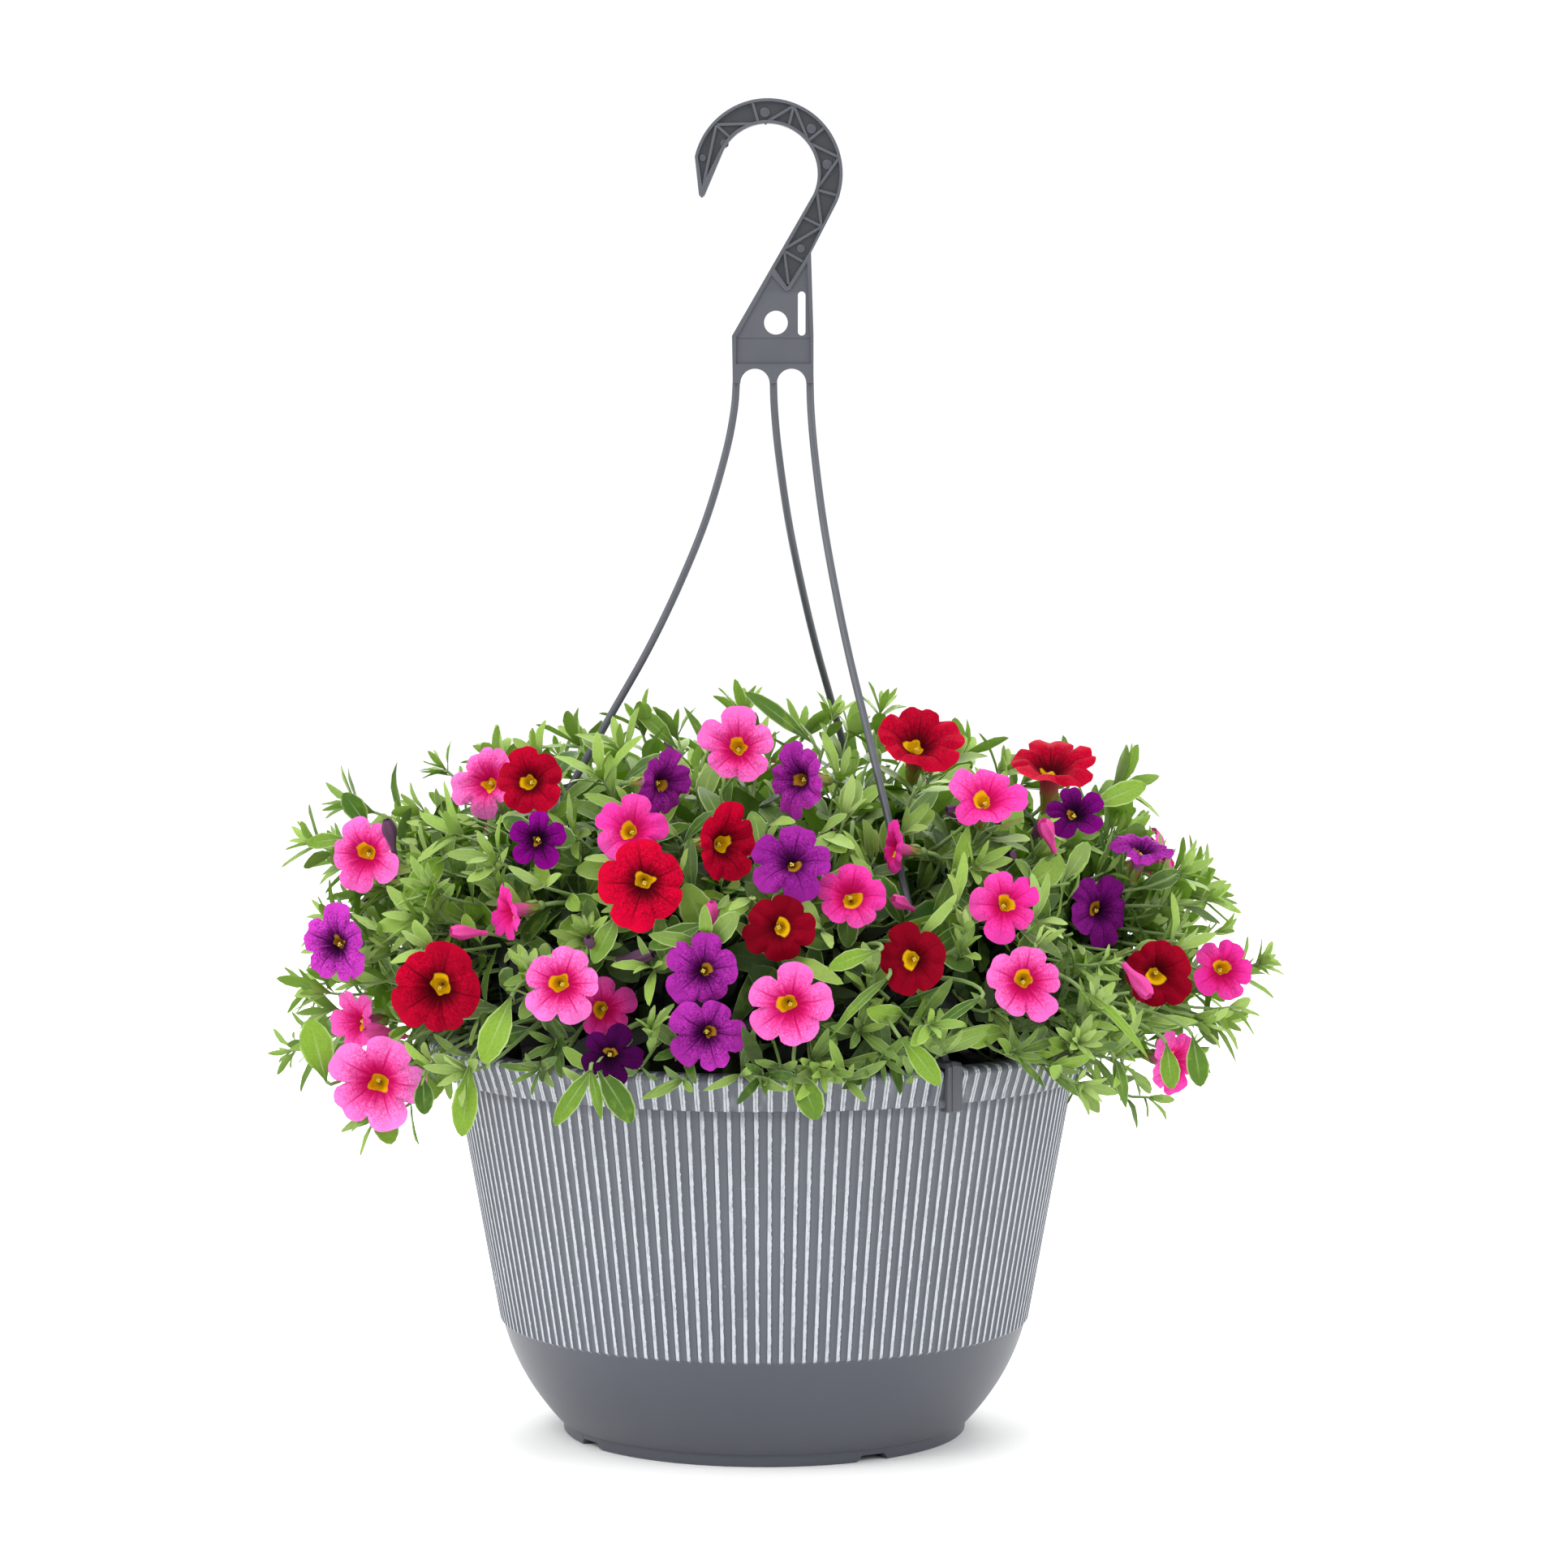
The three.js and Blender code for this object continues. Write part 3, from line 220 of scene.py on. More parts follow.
# Rows and columns of a leaf's grid, for leaves in sight, in a rosette and deep in the bush.
LEAF_GRIDS = {"fine": (8, 5), "small": (7, 3), "deep": (6, 3)}
# A stem's curve: its start and the reach of its two handles, as shares of its way, and its number of points.
STEM = Sizes(start=0.3, rise=0.25, turn=0.26, points=12)
# A shoot: how far down it has leaves, their distance, its tip's length, and where leaves count as deep.
GROWTH = Sizes(leafy=108.0, spacing=6.8, tip=40.0, deep=48.0)
# Ranges of the leaves' lengths, for broad and narrow shoots, those that arch over the rim, and bloom stalks.
LEAF_LENGTHS = Sizes(broad=(22, 30), slim=(29, 38), arching=(23, 31), stalk=(17, 25))
# Where shoots are narrow-leaved, and the gap in the low front: azimuths, heights and how often it applies.
SLIM = Sizes(azimuths=(-8, 75), below=212, share=0.65)
GAP = Sizes(azimuths=(-35, 62), heights=(172, 208), outside=0.8, share=0.5)
LEAF_THICKNESS = 0.45
# How much painted shade darkens the inside of the bush, and between which heights and radii that changes.
SHADE = Sizes(
    depth=0.89, low_depth=0.1, strength=2.4, low_strength=5.4, low_z=(225, 170), past_rim=(124, 142),
)
# How far leaves keep off the blooms' faces, in front of them and behind, their tubes, the arms and the pot.
KEEP = Sizes(
    face=0.47, cone=0.1, back=-3.0, ahead=30.0, tube=2.0, tube_foot=0.08, tube_flare=0.14, arm=3.2, pot=1.5,
)
# Where the rim keeps leaves out: its inner and outer radius and its top, with some room.
KEEP_RIM = Sizes(inner=122, outer=137.5, top=161.5)
# What no leaf may hide from the camera: the middle of each bloom that faces the front by more than facing,
# the front arm above a height, and its clip, each with a margin; a bloom's is a share of its width.
SEEN = Sizes(bloom=0.43, facing=0.3, arm=4.5, arm_above=212, clip=6.0, clip_heights=(143, 149, 155, 161))
# Where nothing may hang over the front of the rim.
FRONT_RIM = Sizes(top=153, y=-105, left=-112, right=108)
# Each colour's lobes: ranges of the notch's and the mouth's share of the radius, roundness and ruffle.
LOBES = {
    "red": ((0.70, 0.80), (0.20, 0.23), 2.8, 0.02), "pink": ((0.60, 0.74), (0.20, 0.24), 2.5, 0.03),
    "violet": ((0.62, 0.73), (0.14, 0.17), 2.5, 0.05), "plum": ((0.50, 0.58), (0.14, 0.17), 2.0, 0.03),
}
LOBE = Sizes(rings=10, long=(0.84, 1.07), dent=(0.0, 0.06), curl=(-0.12, 0.38), shade=0.16, thickness=0.35)
ANTHERS = Sizes(count=4, radius=0.42, ring=0.5, depth=0.27)
# Each colour's petals: pale, deep, halo, dark and mouth colours, the halo's reach and the light let through.
PETALS = {
    "red": ((208, 0, 50), (112, 0, 20), (104, 0, 18), (56, 0, 10), (226, 176, 10), 0.46, 0.2),
    "pink": ((243, 142, 218), (226, 56, 166), (212, 22, 116), (170, 6, 62), (226, 176, 10), 0.72, 0.25),
    "violet": ((208, 64, 196), (112, 8, 114), (72, 4, 72), (26, 0, 28), (160, 112, 26), 0.55, 0.22),
    "plum": ((138, 2, 134), (58, 0, 60), (38, 0, 40), (14, 0, 16), (160, 112, 26), 0.65, 0.15),
}
PETAL_VALUES = ("reach", "mid", "outer", "tint", "ray_x", "ray_y")
BLOOM_COLUMNS = 60
# The funnel's rings: share of the mouth, height, shift aside and reach; the tube's: radius, height and reach.
FUNNEL = [
    (0.1, -0.42, 0.3, -1.0), (0.42, -0.41, 0.3, -0.8), (0.62, -0.34, 0.2, -0.5), (0.82, -0.26, 0.08, -0.2),
]
NECK = [
    (0.12, -2 * TUBE, -1.0), (0.15, -1.1, -0.9), (0.17, -0.9, -0.7), (0.19, -0.65, -0.45),
    (0.22, -0.46, -0.25),
]
Bloom = namedtuple("Bloom", "node colour at size turn lift deep roll")

# The camera: place and tilt, focal length and picture size in the photo's pixels, and the sensor's width.
EYE = (7.9, -2058.0, 420.0)
CAMERA = Sizes(tilt=0.078, focal=6378.0, picture=1932.0, sensor=36.0, far=100.0)
# Lamps: name, place in metres, size and power. All of them point at the same place.
LAMPS = [
    ("overhead", (0.0, 0.1, 2.0), 2.2, 18.0), ("key", (-0.9, -1.5, 1.9), 1.2, 22.0),
    ("fill", (1.6, -0.9, 0.9), 1.0, 11.0), ("low", (-1.6, -0.7, 0.8), 1.0, 7.5),
    ("rear", (0.2, 1.7, 1.3), 1.6, 34.0),
]
LAMPS_AT = (0.0, 0.0, 0.22)
FLOOR = Sizes(half=30.0, white=0.97)
SKY = 1.05

rng = np.random.default_rng(SEED)


# ---------------------------------------------------------------- small helpers
def mulberry32(seed):
    """The random stream that the blooms' rolls are drawn from."""
    state = seed & 0xFFFFFFFF

    def imul(a, b):
        return (a * b) & 0xFFFFFFFF

    def draw():
        nonlocal state
        state = (state + 0x6D2B79F5) & 0xFFFFFFFF
        t = imul(state ^ (state >> 15), 1 | state)
        t = ((t + imul(t ^ (t >> 7), 61 | t)) & 0xFFFFFFFF) ^ t
        return ((t ^ (t >> 14)) & 0xFFFFFFFF) / 4294967296

    return draw


def facing(azimuth, lift=0.0):
    """The direction at an azimuth from the front towards +X, raised by lift."""
    a, l = math.radians(azimuth), math.radians(lift)
    return np.array([math.sin(a) * math.cos(l), -math.cos(a) * math.cos(l), math.sin(l)])


def unit(v):
    v = np.asarray(v, float)
    return v / np.maximum(np.linalg.norm(v, axis=-1, keepdims=True), 1e-9)


def basis(axis):
    """Two unit vectors across an axis."""
    axis = unit(axis)
    side = np.cross((0.0, 0.0, 1.0), axis)
    if np.linalg.norm(side) < 1e-4:
        side = np.cross((0.0, 1.0, 0.0), axis)
    side = unit(side)
    return side, np.cross(axis, side)


def across_axis(axis, angle):
    """The direction across an axis at an angle round it."""
    side, cross = basis(axis)
    return math.cos(angle) * side + math.sin(angle) * cross


def bell(x, width):
    return np.exp(-((x / width) ** 2))


def smoothstep(low, high, x):
    t = np.clip((x - low) / (high - low), 0, 1)
    return t * t * (3 - 2 * t)


def bezier(p0, p1, p2, p3, steps):
    t = np.linspace(0, 1, steps)[:, None]
    return (1 - t) ** 3 * p0 + 3 * t * (1 - t) ** 2 * p1 + 3 * t * t * (1 - t) * p2 + t**3 * p3


def circle(radius, z):
    """Points round the upright axis."""
    angles = [TURN * i / SIDES for i in range(SIDES)]
    return [(radius * math.cos(a), radius * math.sin(a), z) for a in angles]


def body_radius(z):
    return BODY.bottom_radius + BODY.slope * (z - BODY.bottom_z)


def dome_radius(azimuth, scale=1.0):
    """The radius of the bush's dome at its foot."""
    a = np.radians(azimuth)
    return scale / np.hypot(np.sin(a) / CANOPY.half_x, np.cos(a) / CANOPY.half_y)


def rise_of(z):
    """How far up the dome a height is, from 0 at its foot to 1 at its top."""
    return max(0.0, z - CANOPY.base_z) / CANOPY.height


def dome_share(rise):
    """The dome's radius at a rise, as a share of its radius at the foot."""
    return (1 - rise**3) ** (1 / 3)


def shade_at(point):
    """How much painted shade darkens a leaf inside the bush: nothing at its surface, most low in its middle.
    """
    x, y, z = point
    flat = math.hypot(x / CANOPY.half_x, y / CANOPY.half_y)
    low = float(smoothstep(*SHADE.low_z, z))
    past_rim = low * float(smoothstep(*SHADE.past_rim, math.hypot(x, y)))
    depth = max(0.0, SHADE.depth + SHADE.low_depth * low - (flat**3 + rise_of(z) ** 3) ** (1 / 3))
    return depth * (SHADE.strength + SHADE.low_strength * low) * (1 - past_rim)


# ---------------------------------------------------------------- meshes
def link_object(name, data):
    made = bpy.data.objects.new(name, data)
    bpy.context.scene.collection.objects.link(made)
    return made


def grid_faces(rows, columns, wrap=False):
    """Quads of a grid of points, rows by columns; with wrap the last column meets the first."""
    r = np.arange(rows - 1)[:, None] * columns
    c = np.arange(columns if wrap else columns - 1)[None, :]
    d = (c + 1) % columns
    return np.stack([r + c, r + d, r + columns + d, r + columns + c], -1).reshape(-1, 4)


def grid_of(x, y, z):
    """A grid of points from arrays of X, Y and Z that fit one another."""
    return np.stack(np.broadcast_arrays(x, y, z), -1)


def dress(made, material, nodes=(), sharp=None):
    """Makes a piece of an object: shaded smooth, with its material and the nodes it stands for."""
    mesh = made.data
    mesh.polygons.foreach_set("use_smooth", [True] * len(mesh.polygons))
    if sharp is not None:
        mesh.set_sharp_from_angle(angle=math.radians(sharp))
    mesh.materials.clear()
    mesh.materials.append(material)
    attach(made, "root")
    if nodes:
        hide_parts(*nodes)


class Builder:
    """Collects points in millimetres, faces and float attributes, and makes one object of them."""

    def __init__(self, *attributes):
        self.verts, self.faces, self.values = [], [], {name: [] for name in attributes}
        self.count = 0

    def add(self, verts, faces, **values):
        """Takes a list or a grid of points, and for each attribute a number or an array that fits it."""
        verts = np.asarray(verts, float)
        for name, kept in self.values.items():
            kept.append(np.broadcast_to(values.get(name, 0.0), verts.shape[:-1]).astype(np.float32).ravel())
        self.verts.append(verts.reshape(-1, 3))
        if isinstance(faces, list):
            self.faces.extend([i + self.count for i in face] for face in faces)
        else:
            self.faces.extend((faces + self.count).tolist())
        self.count += len(self.verts[-1])

    def skin(self, grid, flip=1, **values):
        """Takes a grid of points that closes on itself, and its quads; flip -1 turns them over."""
        grid = np.asarray(grid, float)
        self.add(grid, grid_faces(*grid.shape[:2], wrap=True)[:, ::flip], **values)

    def bare(self, name):
        """The object alone, not yet a piece."""
        mesh = bpy.data.meshes.new(name)
        mesh.from_pydata((np.concatenate(self.verts) * MM).tolist(), [], self.faces)
        return link_object(name, mesh)

    def piece(self, name, material, slot, nodes=(), sharp=None):
        made = self.bare(name)
        made.data.validate()
        for key, parts in self.values.items():
            made.data.attributes.new(key, "FLOAT", "POINT").data.foreach_set("value", np.concatenate(parts))
        dress(made, material, nodes, sharp)


# ---------------------------------------------------------------- materials
def srgb(r, g, b):
    """A colour as a picture shows it, 0 to 255, as the linear colour a shader takes."""
    linear = [(c / 255 / 12.92) if c <= 10 else ((c / 255 + 0.055) / 1.055) ** 2.4 for c in (r, g, b)]
    return (*linear, 1.0)


class Value:
    """A value in a material's node tree, which adds, subtracts and multiplies as a number does."""

    def __init__(self, nodes, socket):
        self.nodes, self.socket = nodes, socket

    def __add__(self, other):
        return self.nodes.math("ADD", self, other)

    def __sub__(self, other):
        return self.nodes.math("SUBTRACT", self, other)

    def __rsub__(self, other):
        return self.nodes.math("SUBTRACT", other, self)

    def __mul__(self, other):
        return self.nodes.math("MULTIPLY", self, other)

    def __abs__(self):
        return self.nodes.math("ABSOLUTE", self)


class Nodes:
    """Short names for building a material's node tree."""

    def __init__(self, name, roughness, specular=0.5):
        self.material = bpy.data.materials.new(name)
        self.material.use_nodes = True
        self.tree = self.material.node_tree
        self.shader = self.tree.nodes["Principled BSDF"]
        self.set("Roughness", roughness)
        self.set("Specular IOR Level", specular)

    def put(self, socket, value):
        if isinstance(value, Value):
            self.tree.links.new(value.socket, socket)
        else:
            socket.default_value = value

    def set(self, name, value):
        """Sets an input of the material's shader."""
        self.put(self.shader.inputs[name], value)

    def make(self, kind, inputs, output=0, **settings):
        """Adds a node with its settings and inputs, and gives one of its outputs."""
        made = self.tree.nodes.new(kind)
        for key, value in settings.items():
            setattr(made, key, value)
        for key, value in inputs.items():
            self.put(made.inputs[key], value)
        return Value(self, made.outputs[output])

    def attributes(self, *names):
        return [self.make("ShaderNodeAttribute", {}, "Fac", attribute_name=name) for name in names]

    def math(self, operation, a, b=0.0, clamp=False):
        return self.make("ShaderNodeMath", {0: a, 1: b}, operation=operation, use_clamp=clamp)

    def ramp(self, value, low, high):
        """0 below low, 1 above high, and smooth between."""
        inputs = {"Value": value, "From Min": low, "From Max": high}
        return self.make("ShaderNodeMapRange", inputs, "Result", interpolation_type="SMOOTHSTEP")

    def mix(self, share, a, b):
        return self.make("ShaderNodeMix", {0: share, 6: a, 7: b}, 2, data_type="RGBA")

    def place(self, stretch=(1.0, 1.0, 1.0)):
        """The point in the object's own space, scaled."""
        coordinates = self.make("ShaderNodeTexCoord", {}, "Object")
        return self.make("ShaderNodeMapping", {"Vector": coordinates, "Scale": stretch}, "Vector")

    def vector(self, x, y, z):
        return self.make("ShaderNodeCombineXYZ", {0: x, 1: y, 2: z})

    def noise(self, scale, detail=2.0, roughness=0.5, at=None, stretch=(1.0, 1.0, 1.0)):
        """Noise over the object's own space, or over the vector that at gives."""
        vector = self.place(stretch) if at is None else at
        inputs = {"Vector": vector, "Scale": scale, "Detail": detail, "Roughness": roughness}
        return self.make("ShaderNodeTexNoise", inputs, "Fac")

    def bump(self, height, strength, distance):
        inputs = {"Strength": strength, "Distance": distance, "Height": height}
        self.set("Normal", self.make("ShaderNodeBump", inputs, "Normal"))

    def let_through(self, colour, share):
        """Lets some light through from behind, as a leaf or a petal does."""
        glow = self.make("ShaderNodeBsdfTranslucent", {"Color": colour})
        mixed = self.make("ShaderNodeMixShader", {0: share, 1: Value(self, self.shader.outputs[0]), 2: glow})
        self.put(self.tree.nodes["Material Output"].inputs["Surface"], mixed)


def pot_material():
    """Grey plastic with a thin whitewash along the crests of the ribs, doubled on the rim, and painted shade
    just under the rim.
    """
    n = Nodes("pot_plastic", 0.38)
    crest, lean, wash, rim = n.attributes("crest", "lean", "wash", "rim")
    grain = n.noise(1500.0, 2.0, 0.6, stretch=(1.0, 1.0, 0.4))
    wander = n.noise(240.0, 2.0, stretch=(1.0, 1.0, 0.15))
    ragged = (grain - 0.5) * (n.ramp(lean, -0.1, 0.4) * 0.36 + 0.06)
    edge = crest + (wander - 0.5) * 0.2 + ragged + rim * 0.06
    line = n.ramp(edge, 0.97, 1.02) * rim * 0.75
    stripe = n.ramp(edge, 0.69, 0.75) * (1.0 - line)
    patches = n.ramp(n.noise(800.0, 3.0, 0.7, stretch=(1.0, 1.0, 0.3)), 0.33, 0.55)
    specks = n.ramp(n.noise(380.0, 3.0, 0.6, stretch=(1.0, 1.0, 2.2)), 0.725, 0.76)
    scuffs = n.ramp(n.noise(520.0, 3.0, 0.6, stretch=(0.12, 0.12, 2.5)), 0.7, 0.76)
    worn = stripe * (patches * 0.36 + 0.64)
    haze = rim * n.ramp(wander, 0.5, 0.75) * 0.16
    white = n.math("ADD", worn + (scuffs * 0.4 + specks) * 0.5, haze, clamp=True) * wash
    grey = n.mix(n.noise(18.0, 3.0), srgb(74, 78, 86), srgb(88, 92, 100))
    bowl = n.mix(n.noise(30.0, 3.0), srgb(64, 67, 76), srgb(69, 72, 81))
    # A lower whitewash share gives less white and the bowl's darker grey; just under the rim that is painted
    # shade.
    n.set("Base Color", n.mix(white, n.mix(wash, bowl, grey), srgb(181, 185, 191)))
    n.set("Roughness", white * 0.3 + 0.38)
    n.bump(grain + white, 0.2, 0.0003)
    return n.material


def hanger_material():
    """Dark grey plastic, with painted shade down in the hook's channel."""
    n = Nodes("hanger_plastic", 0.4)
    place = n.place()
    y = n.make("ShaderNodeSeparateXYZ", {0: place}, "Y")
    z = n.make("ShaderNodeSeparateXYZ", {0: place}, "Z")
    # Painted shade on the recessed floor between the flanges and ribs, from the shank up.
    pocket = n.ramp(abs(y), 0.0027, 0.0013) * n.ramp(z, 0.4535, 0.4555)
    grey = n.mix(n.noise(60.0, 4.0), srgb(62, 64, 71), srgb(75, 77, 85))
    n.set("Base Color", n.mix(pocket * 0.75, grey, srgb(26, 28, 33)))
    n.bump(n.noise(900.0, 2.0), 0.04, 0.0003)
    return n.material


def soil_material():
    n = Nodes("potting_soil", 0.95)
    crumbs = n.noise(260.0, 5.0, 0.7)
    n.set("Base Color", n.mix(n.ramp(crumbs, 0.35, 0.7), srgb(16, 11, 8), srgb(48, 35, 26)))
    n.bump(crumbs, 0.8, 0.002)
    return n.material


def leaf_material():
    """Green leaves with a pale downy margin. Tint is -1 deep in the bush, where it stands for painted shade,
    and young ones are paler.
    """
    n = Nodes("foliage", 0.45, 0.35)
    along, across, tint, young, back = n.attributes("along", "across", "tint", "young", "back")
    blotch = n.ramp(n.noise(170.0, 4.0, 0.65), 0.48, 0.66)
    grain = n.ramp(n.noise(1000.0, 3.0, 0.6), 0.4, 0.65)
    # deep is painted shade, from the low tints of leaves inside the bush.
    deep = n.ramp(tint, 0.0, -1.0)
    green = n.mix(n.ramp(tint, 0.0, 1.0), srgb(58, 97, 28), srgb(160, 198, 64))
    green = n.mix(blotch * 0.4, green, srgb(150, 180, 46))
    green = n.mix(grain * 0.22, green, srgb(58, 88, 28))
    green = n.mix(young * 0.8, green, srgb(190, 208, 134))
    # Painted shade at each leaf's base, where the leaves round it would shade it.
    green = n.mix(n.ramp(along, 0.5, 0.0) * 0.6, green, srgb(34, 56, 18))
    # Painted shade deep in the bush.
    green = n.mix(deep, green, srgb(13, 24, 9))
    midrib = n.ramp(across, 0.1, 0.02) * n.ramp(along, 1.0, 0.3)
    margin = n.ramp(across, 0.83, 0.95) * (young * 0.28 + 0.7)
    # The pale margin and midrib fade out under the painted shade.
    pale = n.math("MAXIMUM", midrib * 0.45, margin) * n.ramp(tint, -0.6, 0.2)
    under = n.mix(deep, n.mix(0.35, green, srgb(150, 176, 104)), green)
    shown = n.mix(back, n.mix(pale, green, srgb(196, 216, 150)), under)
    n.set("Base Color", shown)
    n.bump(n.noise(2000.0, 2.0, 0.6) - pale * 0.8, 0.2, 0.0004)
    # The light let through is darkened by the painted shade too.
    n.let_through(n.mix(0.5, shown, n.mix(deep, srgb(164, 206, 16), srgb(16, 24, 4))), 0.42)
    return n.material


def stem_material():
    n = Nodes("stems", 0.6)
    n.set("Base Color", n.mix(n.noise(90.0, 2.0), srgb(88, 116, 52), srgb(128, 152, 88)))
    return n.material


def petal_material(name):
    """A bloom's petals: a yellow mouth, a ring and a halo round it, veins, a crease down each lobe, and
    painted shade in the throat.
    """
    *colours, zone, glow = PETALS[name]
    pale, deep, halo, dark, gold = (srgb(*colour) for colour in colours)
    n = Nodes("petals_" + name, 0.7, 0.04)
    reach, mid, outer, tint, ray_x, ray_y = n.attributes(*PETAL_VALUES)
    fibres = n.noise(7.5, 4.0, 0.65, at=n.vector(ray_x, ray_y, reach * 0.2))
    spokes = n.noise(9.0, 2.0, 0.6, at=n.vector(ray_x, ray_y, reach * 0.5))
    net = n.noise(9.0, 2.0, 0.5, at=n.vector(ray_x * reach, ray_y * reach, 0.0))
    threads = n.math("MAXIMUM", n.ramp(abs(spokes - 0.5), 0.035, 0.0), n.ramp(abs(net - 0.5), 0.05, 0.0))
    veins = threads * n.ramp(reach, 1.1, 0.5)
    crease = n.ramp(mid, 0.1, 0.0) * n.ramp(reach, 1.05, 0.4)
    lobe = n.mix(n.noise(160.0, 3.0) * 0.25, n.mix(tint, pale, deep), deep)
    lobe = n.mix(n.math("MAXIMUM", veins * 0.75, crease * 0.85), lobe, halo)
    spread = (fibres - 0.5) * 0.6 - crease * 0.2 + reach
    face = n.mix(n.ramp(spread, zone, 0.02), lobe, halo)
    face = n.mix(n.ramp(spread, 0.5 * zone, -0.08) * 0.75, face, dark)
    blot = n.noise(0.8, 0.0, at=n.vector(ray_x, ray_y, tint))
    # lip keeps one side of the funnel in the dark petal colour: painted shade inside the mouth.
    lip = n.ramp(ray_x, -0.1, 1.0) * 0.4 + (blot - 0.5) * 0.8 + (fibres - 0.5) * 0.06 + reach
    lip = n.math("MAXIMUM", lip, reach - 0.09)
    # Darker lines down the throat's pleats: painted shade in its folds.
    pleats = n.ramp(spokes, 0.5, 0.62) * n.ramp(reach, 0.1, -0.3)
    throat = n.mix(pleats * 0.4, gold, srgb(110, 66, 4))
    # Darker brown deep in the tube: painted shade.
    throat = n.mix(n.ramp(reach, -0.7, -1.0) * 0.7, throat, srgb(96, 66, 10))
    face = n.mix(n.ramp(lip, 0.05, -0.01), face, throat)
    shell = n.mix(0.12, lobe, srgb(214, 178, 196))
    shell = n.mix(n.ramp(reach, -0.15, -0.8), shell, srgb(150, 134, 58))
    shown = n.mix(n.ramp(outer, 0.4, 0.6), face, shell)
    shown = n.mix(n.ramp(outer, 1.5, 1.9), shown, srgb(226, 210, 96))
    n.set("Base Color", shown)
    n.bump(fibres - crease, 0.35, 0.0005)
    n.let_through(shown, glow)
    return n.material


# ---------------------------------------------------------------- the pot
def pot_profile():
    """Radius, height, share of rib relief, share of whitewash (lowered just under the rim as painted shade)
    and rim flag, from the foot up and into the cavity.
    """
    foot, ledge, low, top = FOOT.radius, BODY.bottom_z, RIM.low_z, RIM.top_z
    p0, p1, p2 = (np.array(p) for p in BOWL)
    smooth = [(FOOT.inner, 0.0), (foot - 0.7, 0.0), (foot, 0.6), (foot + 0.4, FOOT.height)]
    smooth += [tuple((1 - t) ** 2 * p0 + 2 * t * (1 - t) * p1 + t * t * p2) for t in np.linspace(0, 1, 18)]
    rows = [(r, z, 0.0, 0.0, 0.0) for r, z in smooth]
    rows.append((BOWL[2][0] + 0.1, ledge - 0.6, 0.0, 0.35, 0.0))
    rows.append((body_radius(ledge) - 0.5, ledge - 0.5, 0.6, 1.0, 0.0))
    rows += [(body_radius(z), z, 1.0, 1.0, 0.0) for z in (ledge, ledge + 0.6, 72.0, 98.0, 124.0, 140.5)]
    # Just under the rim, and on its lower edge below, the lower whitewash share is painted shade of the rim's
    # overhang.
    rows += [(body_radius(z), z, 1.0, 0.4, 0.0) for z in (143.0, low)]
    slant = (RIM.radius - RIM.low_radius) / (RIM.high_z - low)
    rows += [(RIM.low_radius - 0.5, low, 1.0, 0.3, 0.0)]
    for z in (low + 0.4, low + 3, low + 7, RIM.high_z - 1.6, RIM.high_z):
        rows.append((RIM.low_radius + slant * (z - low), z, 1.0, 1.0, 1.0))
    rows += [(RIM.radius - 0.5, top - 1.0, 1.0, 1.0, 1.0), (RIM.radius - 1.8, top - 0.2, 0.7, 1.0, 1.0)]
    rows += [(RIM.radius - 3.6, top, 0.2, 0.6, 1.0), (RIM.lip + 0.6, top, 0.0, 0.0, 1.0)]
    cavity = [(body_radius(z) - WALL, z) for z in (top - 4.0, 120.0, 80.0, 48.0)]
    cavity += [(98.0, 30.0), (90.0, 18.0), (FOOT.floor_radius, FOOT.floor_top)]
    return rows + [(r, z, 0.0, 0.0, 0.0) for r, z in [(RIM.lip, top - 0.6), *cavity]]


def build_pot():
    """The whole shell, turned round the axis with its ribs, its foot notches and its floor."""
    phases, heights = np.array(RIB_SECTION).T
    angles = ((np.arange(RIBS.count)[:, None] + phases[None, :]) * TURN / RIBS.count).ravel()
    height = np.tile(heights, RIBS.count)
    phase = np.tile((phases + 0.5) % 1.0 - 0.5, RIBS.count)
    radii, levels, relief, wash, rim = np.array(pot_profile()).T[..., None]
    radius = radii - RIBS.depth * relief * (1 - height)
    shell = grid_of(radius * np.cos(angles), radius * np.sin(angles), levels)
    notch_foot(shell)
    pot = Builder("crest", "lean", "wash", "rim")
    pot.skin(shell, crest=1 - 2 * np.abs(phase), lean=3 * phase, wash=wash, rim=rim)
    add_floor(pot)
    pot.piece("pot_shell", pot_material(), "pot_plastic", ["pot"], sharp=38)


def notch_foot(points):
    """Raises the foot's lower edge in the four drain notches."""
    x, y, z = np.moveaxis(points, -1, 0)
    away = (np.degrees(np.arctan2(x, -y)) - NOTCH.first + 45) % 90 - 45
    arc_length = np.abs(np.radians(away)) * FOOT.radius
    raised = NOTCH.height * (1 - smoothstep(NOTCH.top / 2, NOTCH.bottom / 2, arc_length))
    low = (z < NOTCH.height - 0.1) & (np.hypot(x, y) < FOOT.radius + 1)
    points[low, 2] = np.maximum(z[low], raised[low])


def add_floor(pot):
    """The floor: a disc with drain holes, as a top and a bottom face, and the foot's inner side."""
    for z, outward, outer in ((FOOT.floor_low, -1, FOOT.inner), (FOOT.floor_top, 1, FOOT.floor_radius)):
        pot.skin([circle(outer, z), circle(DRAIN.ring + DRAIN.band, z)], outward)
        pot.skin([circle(radius, z) for radius in (DRAIN.ring - DRAIN.band, 20.0, 1.0)], outward)
        add_holed_band(pot, z, outward)
    wall = np.array([circle(FOOT.inner, 0.0), circle(FOOT.inner, FOOT.floor_low)])
    notch_foot(wall)
    pot.skin(wall, -1)


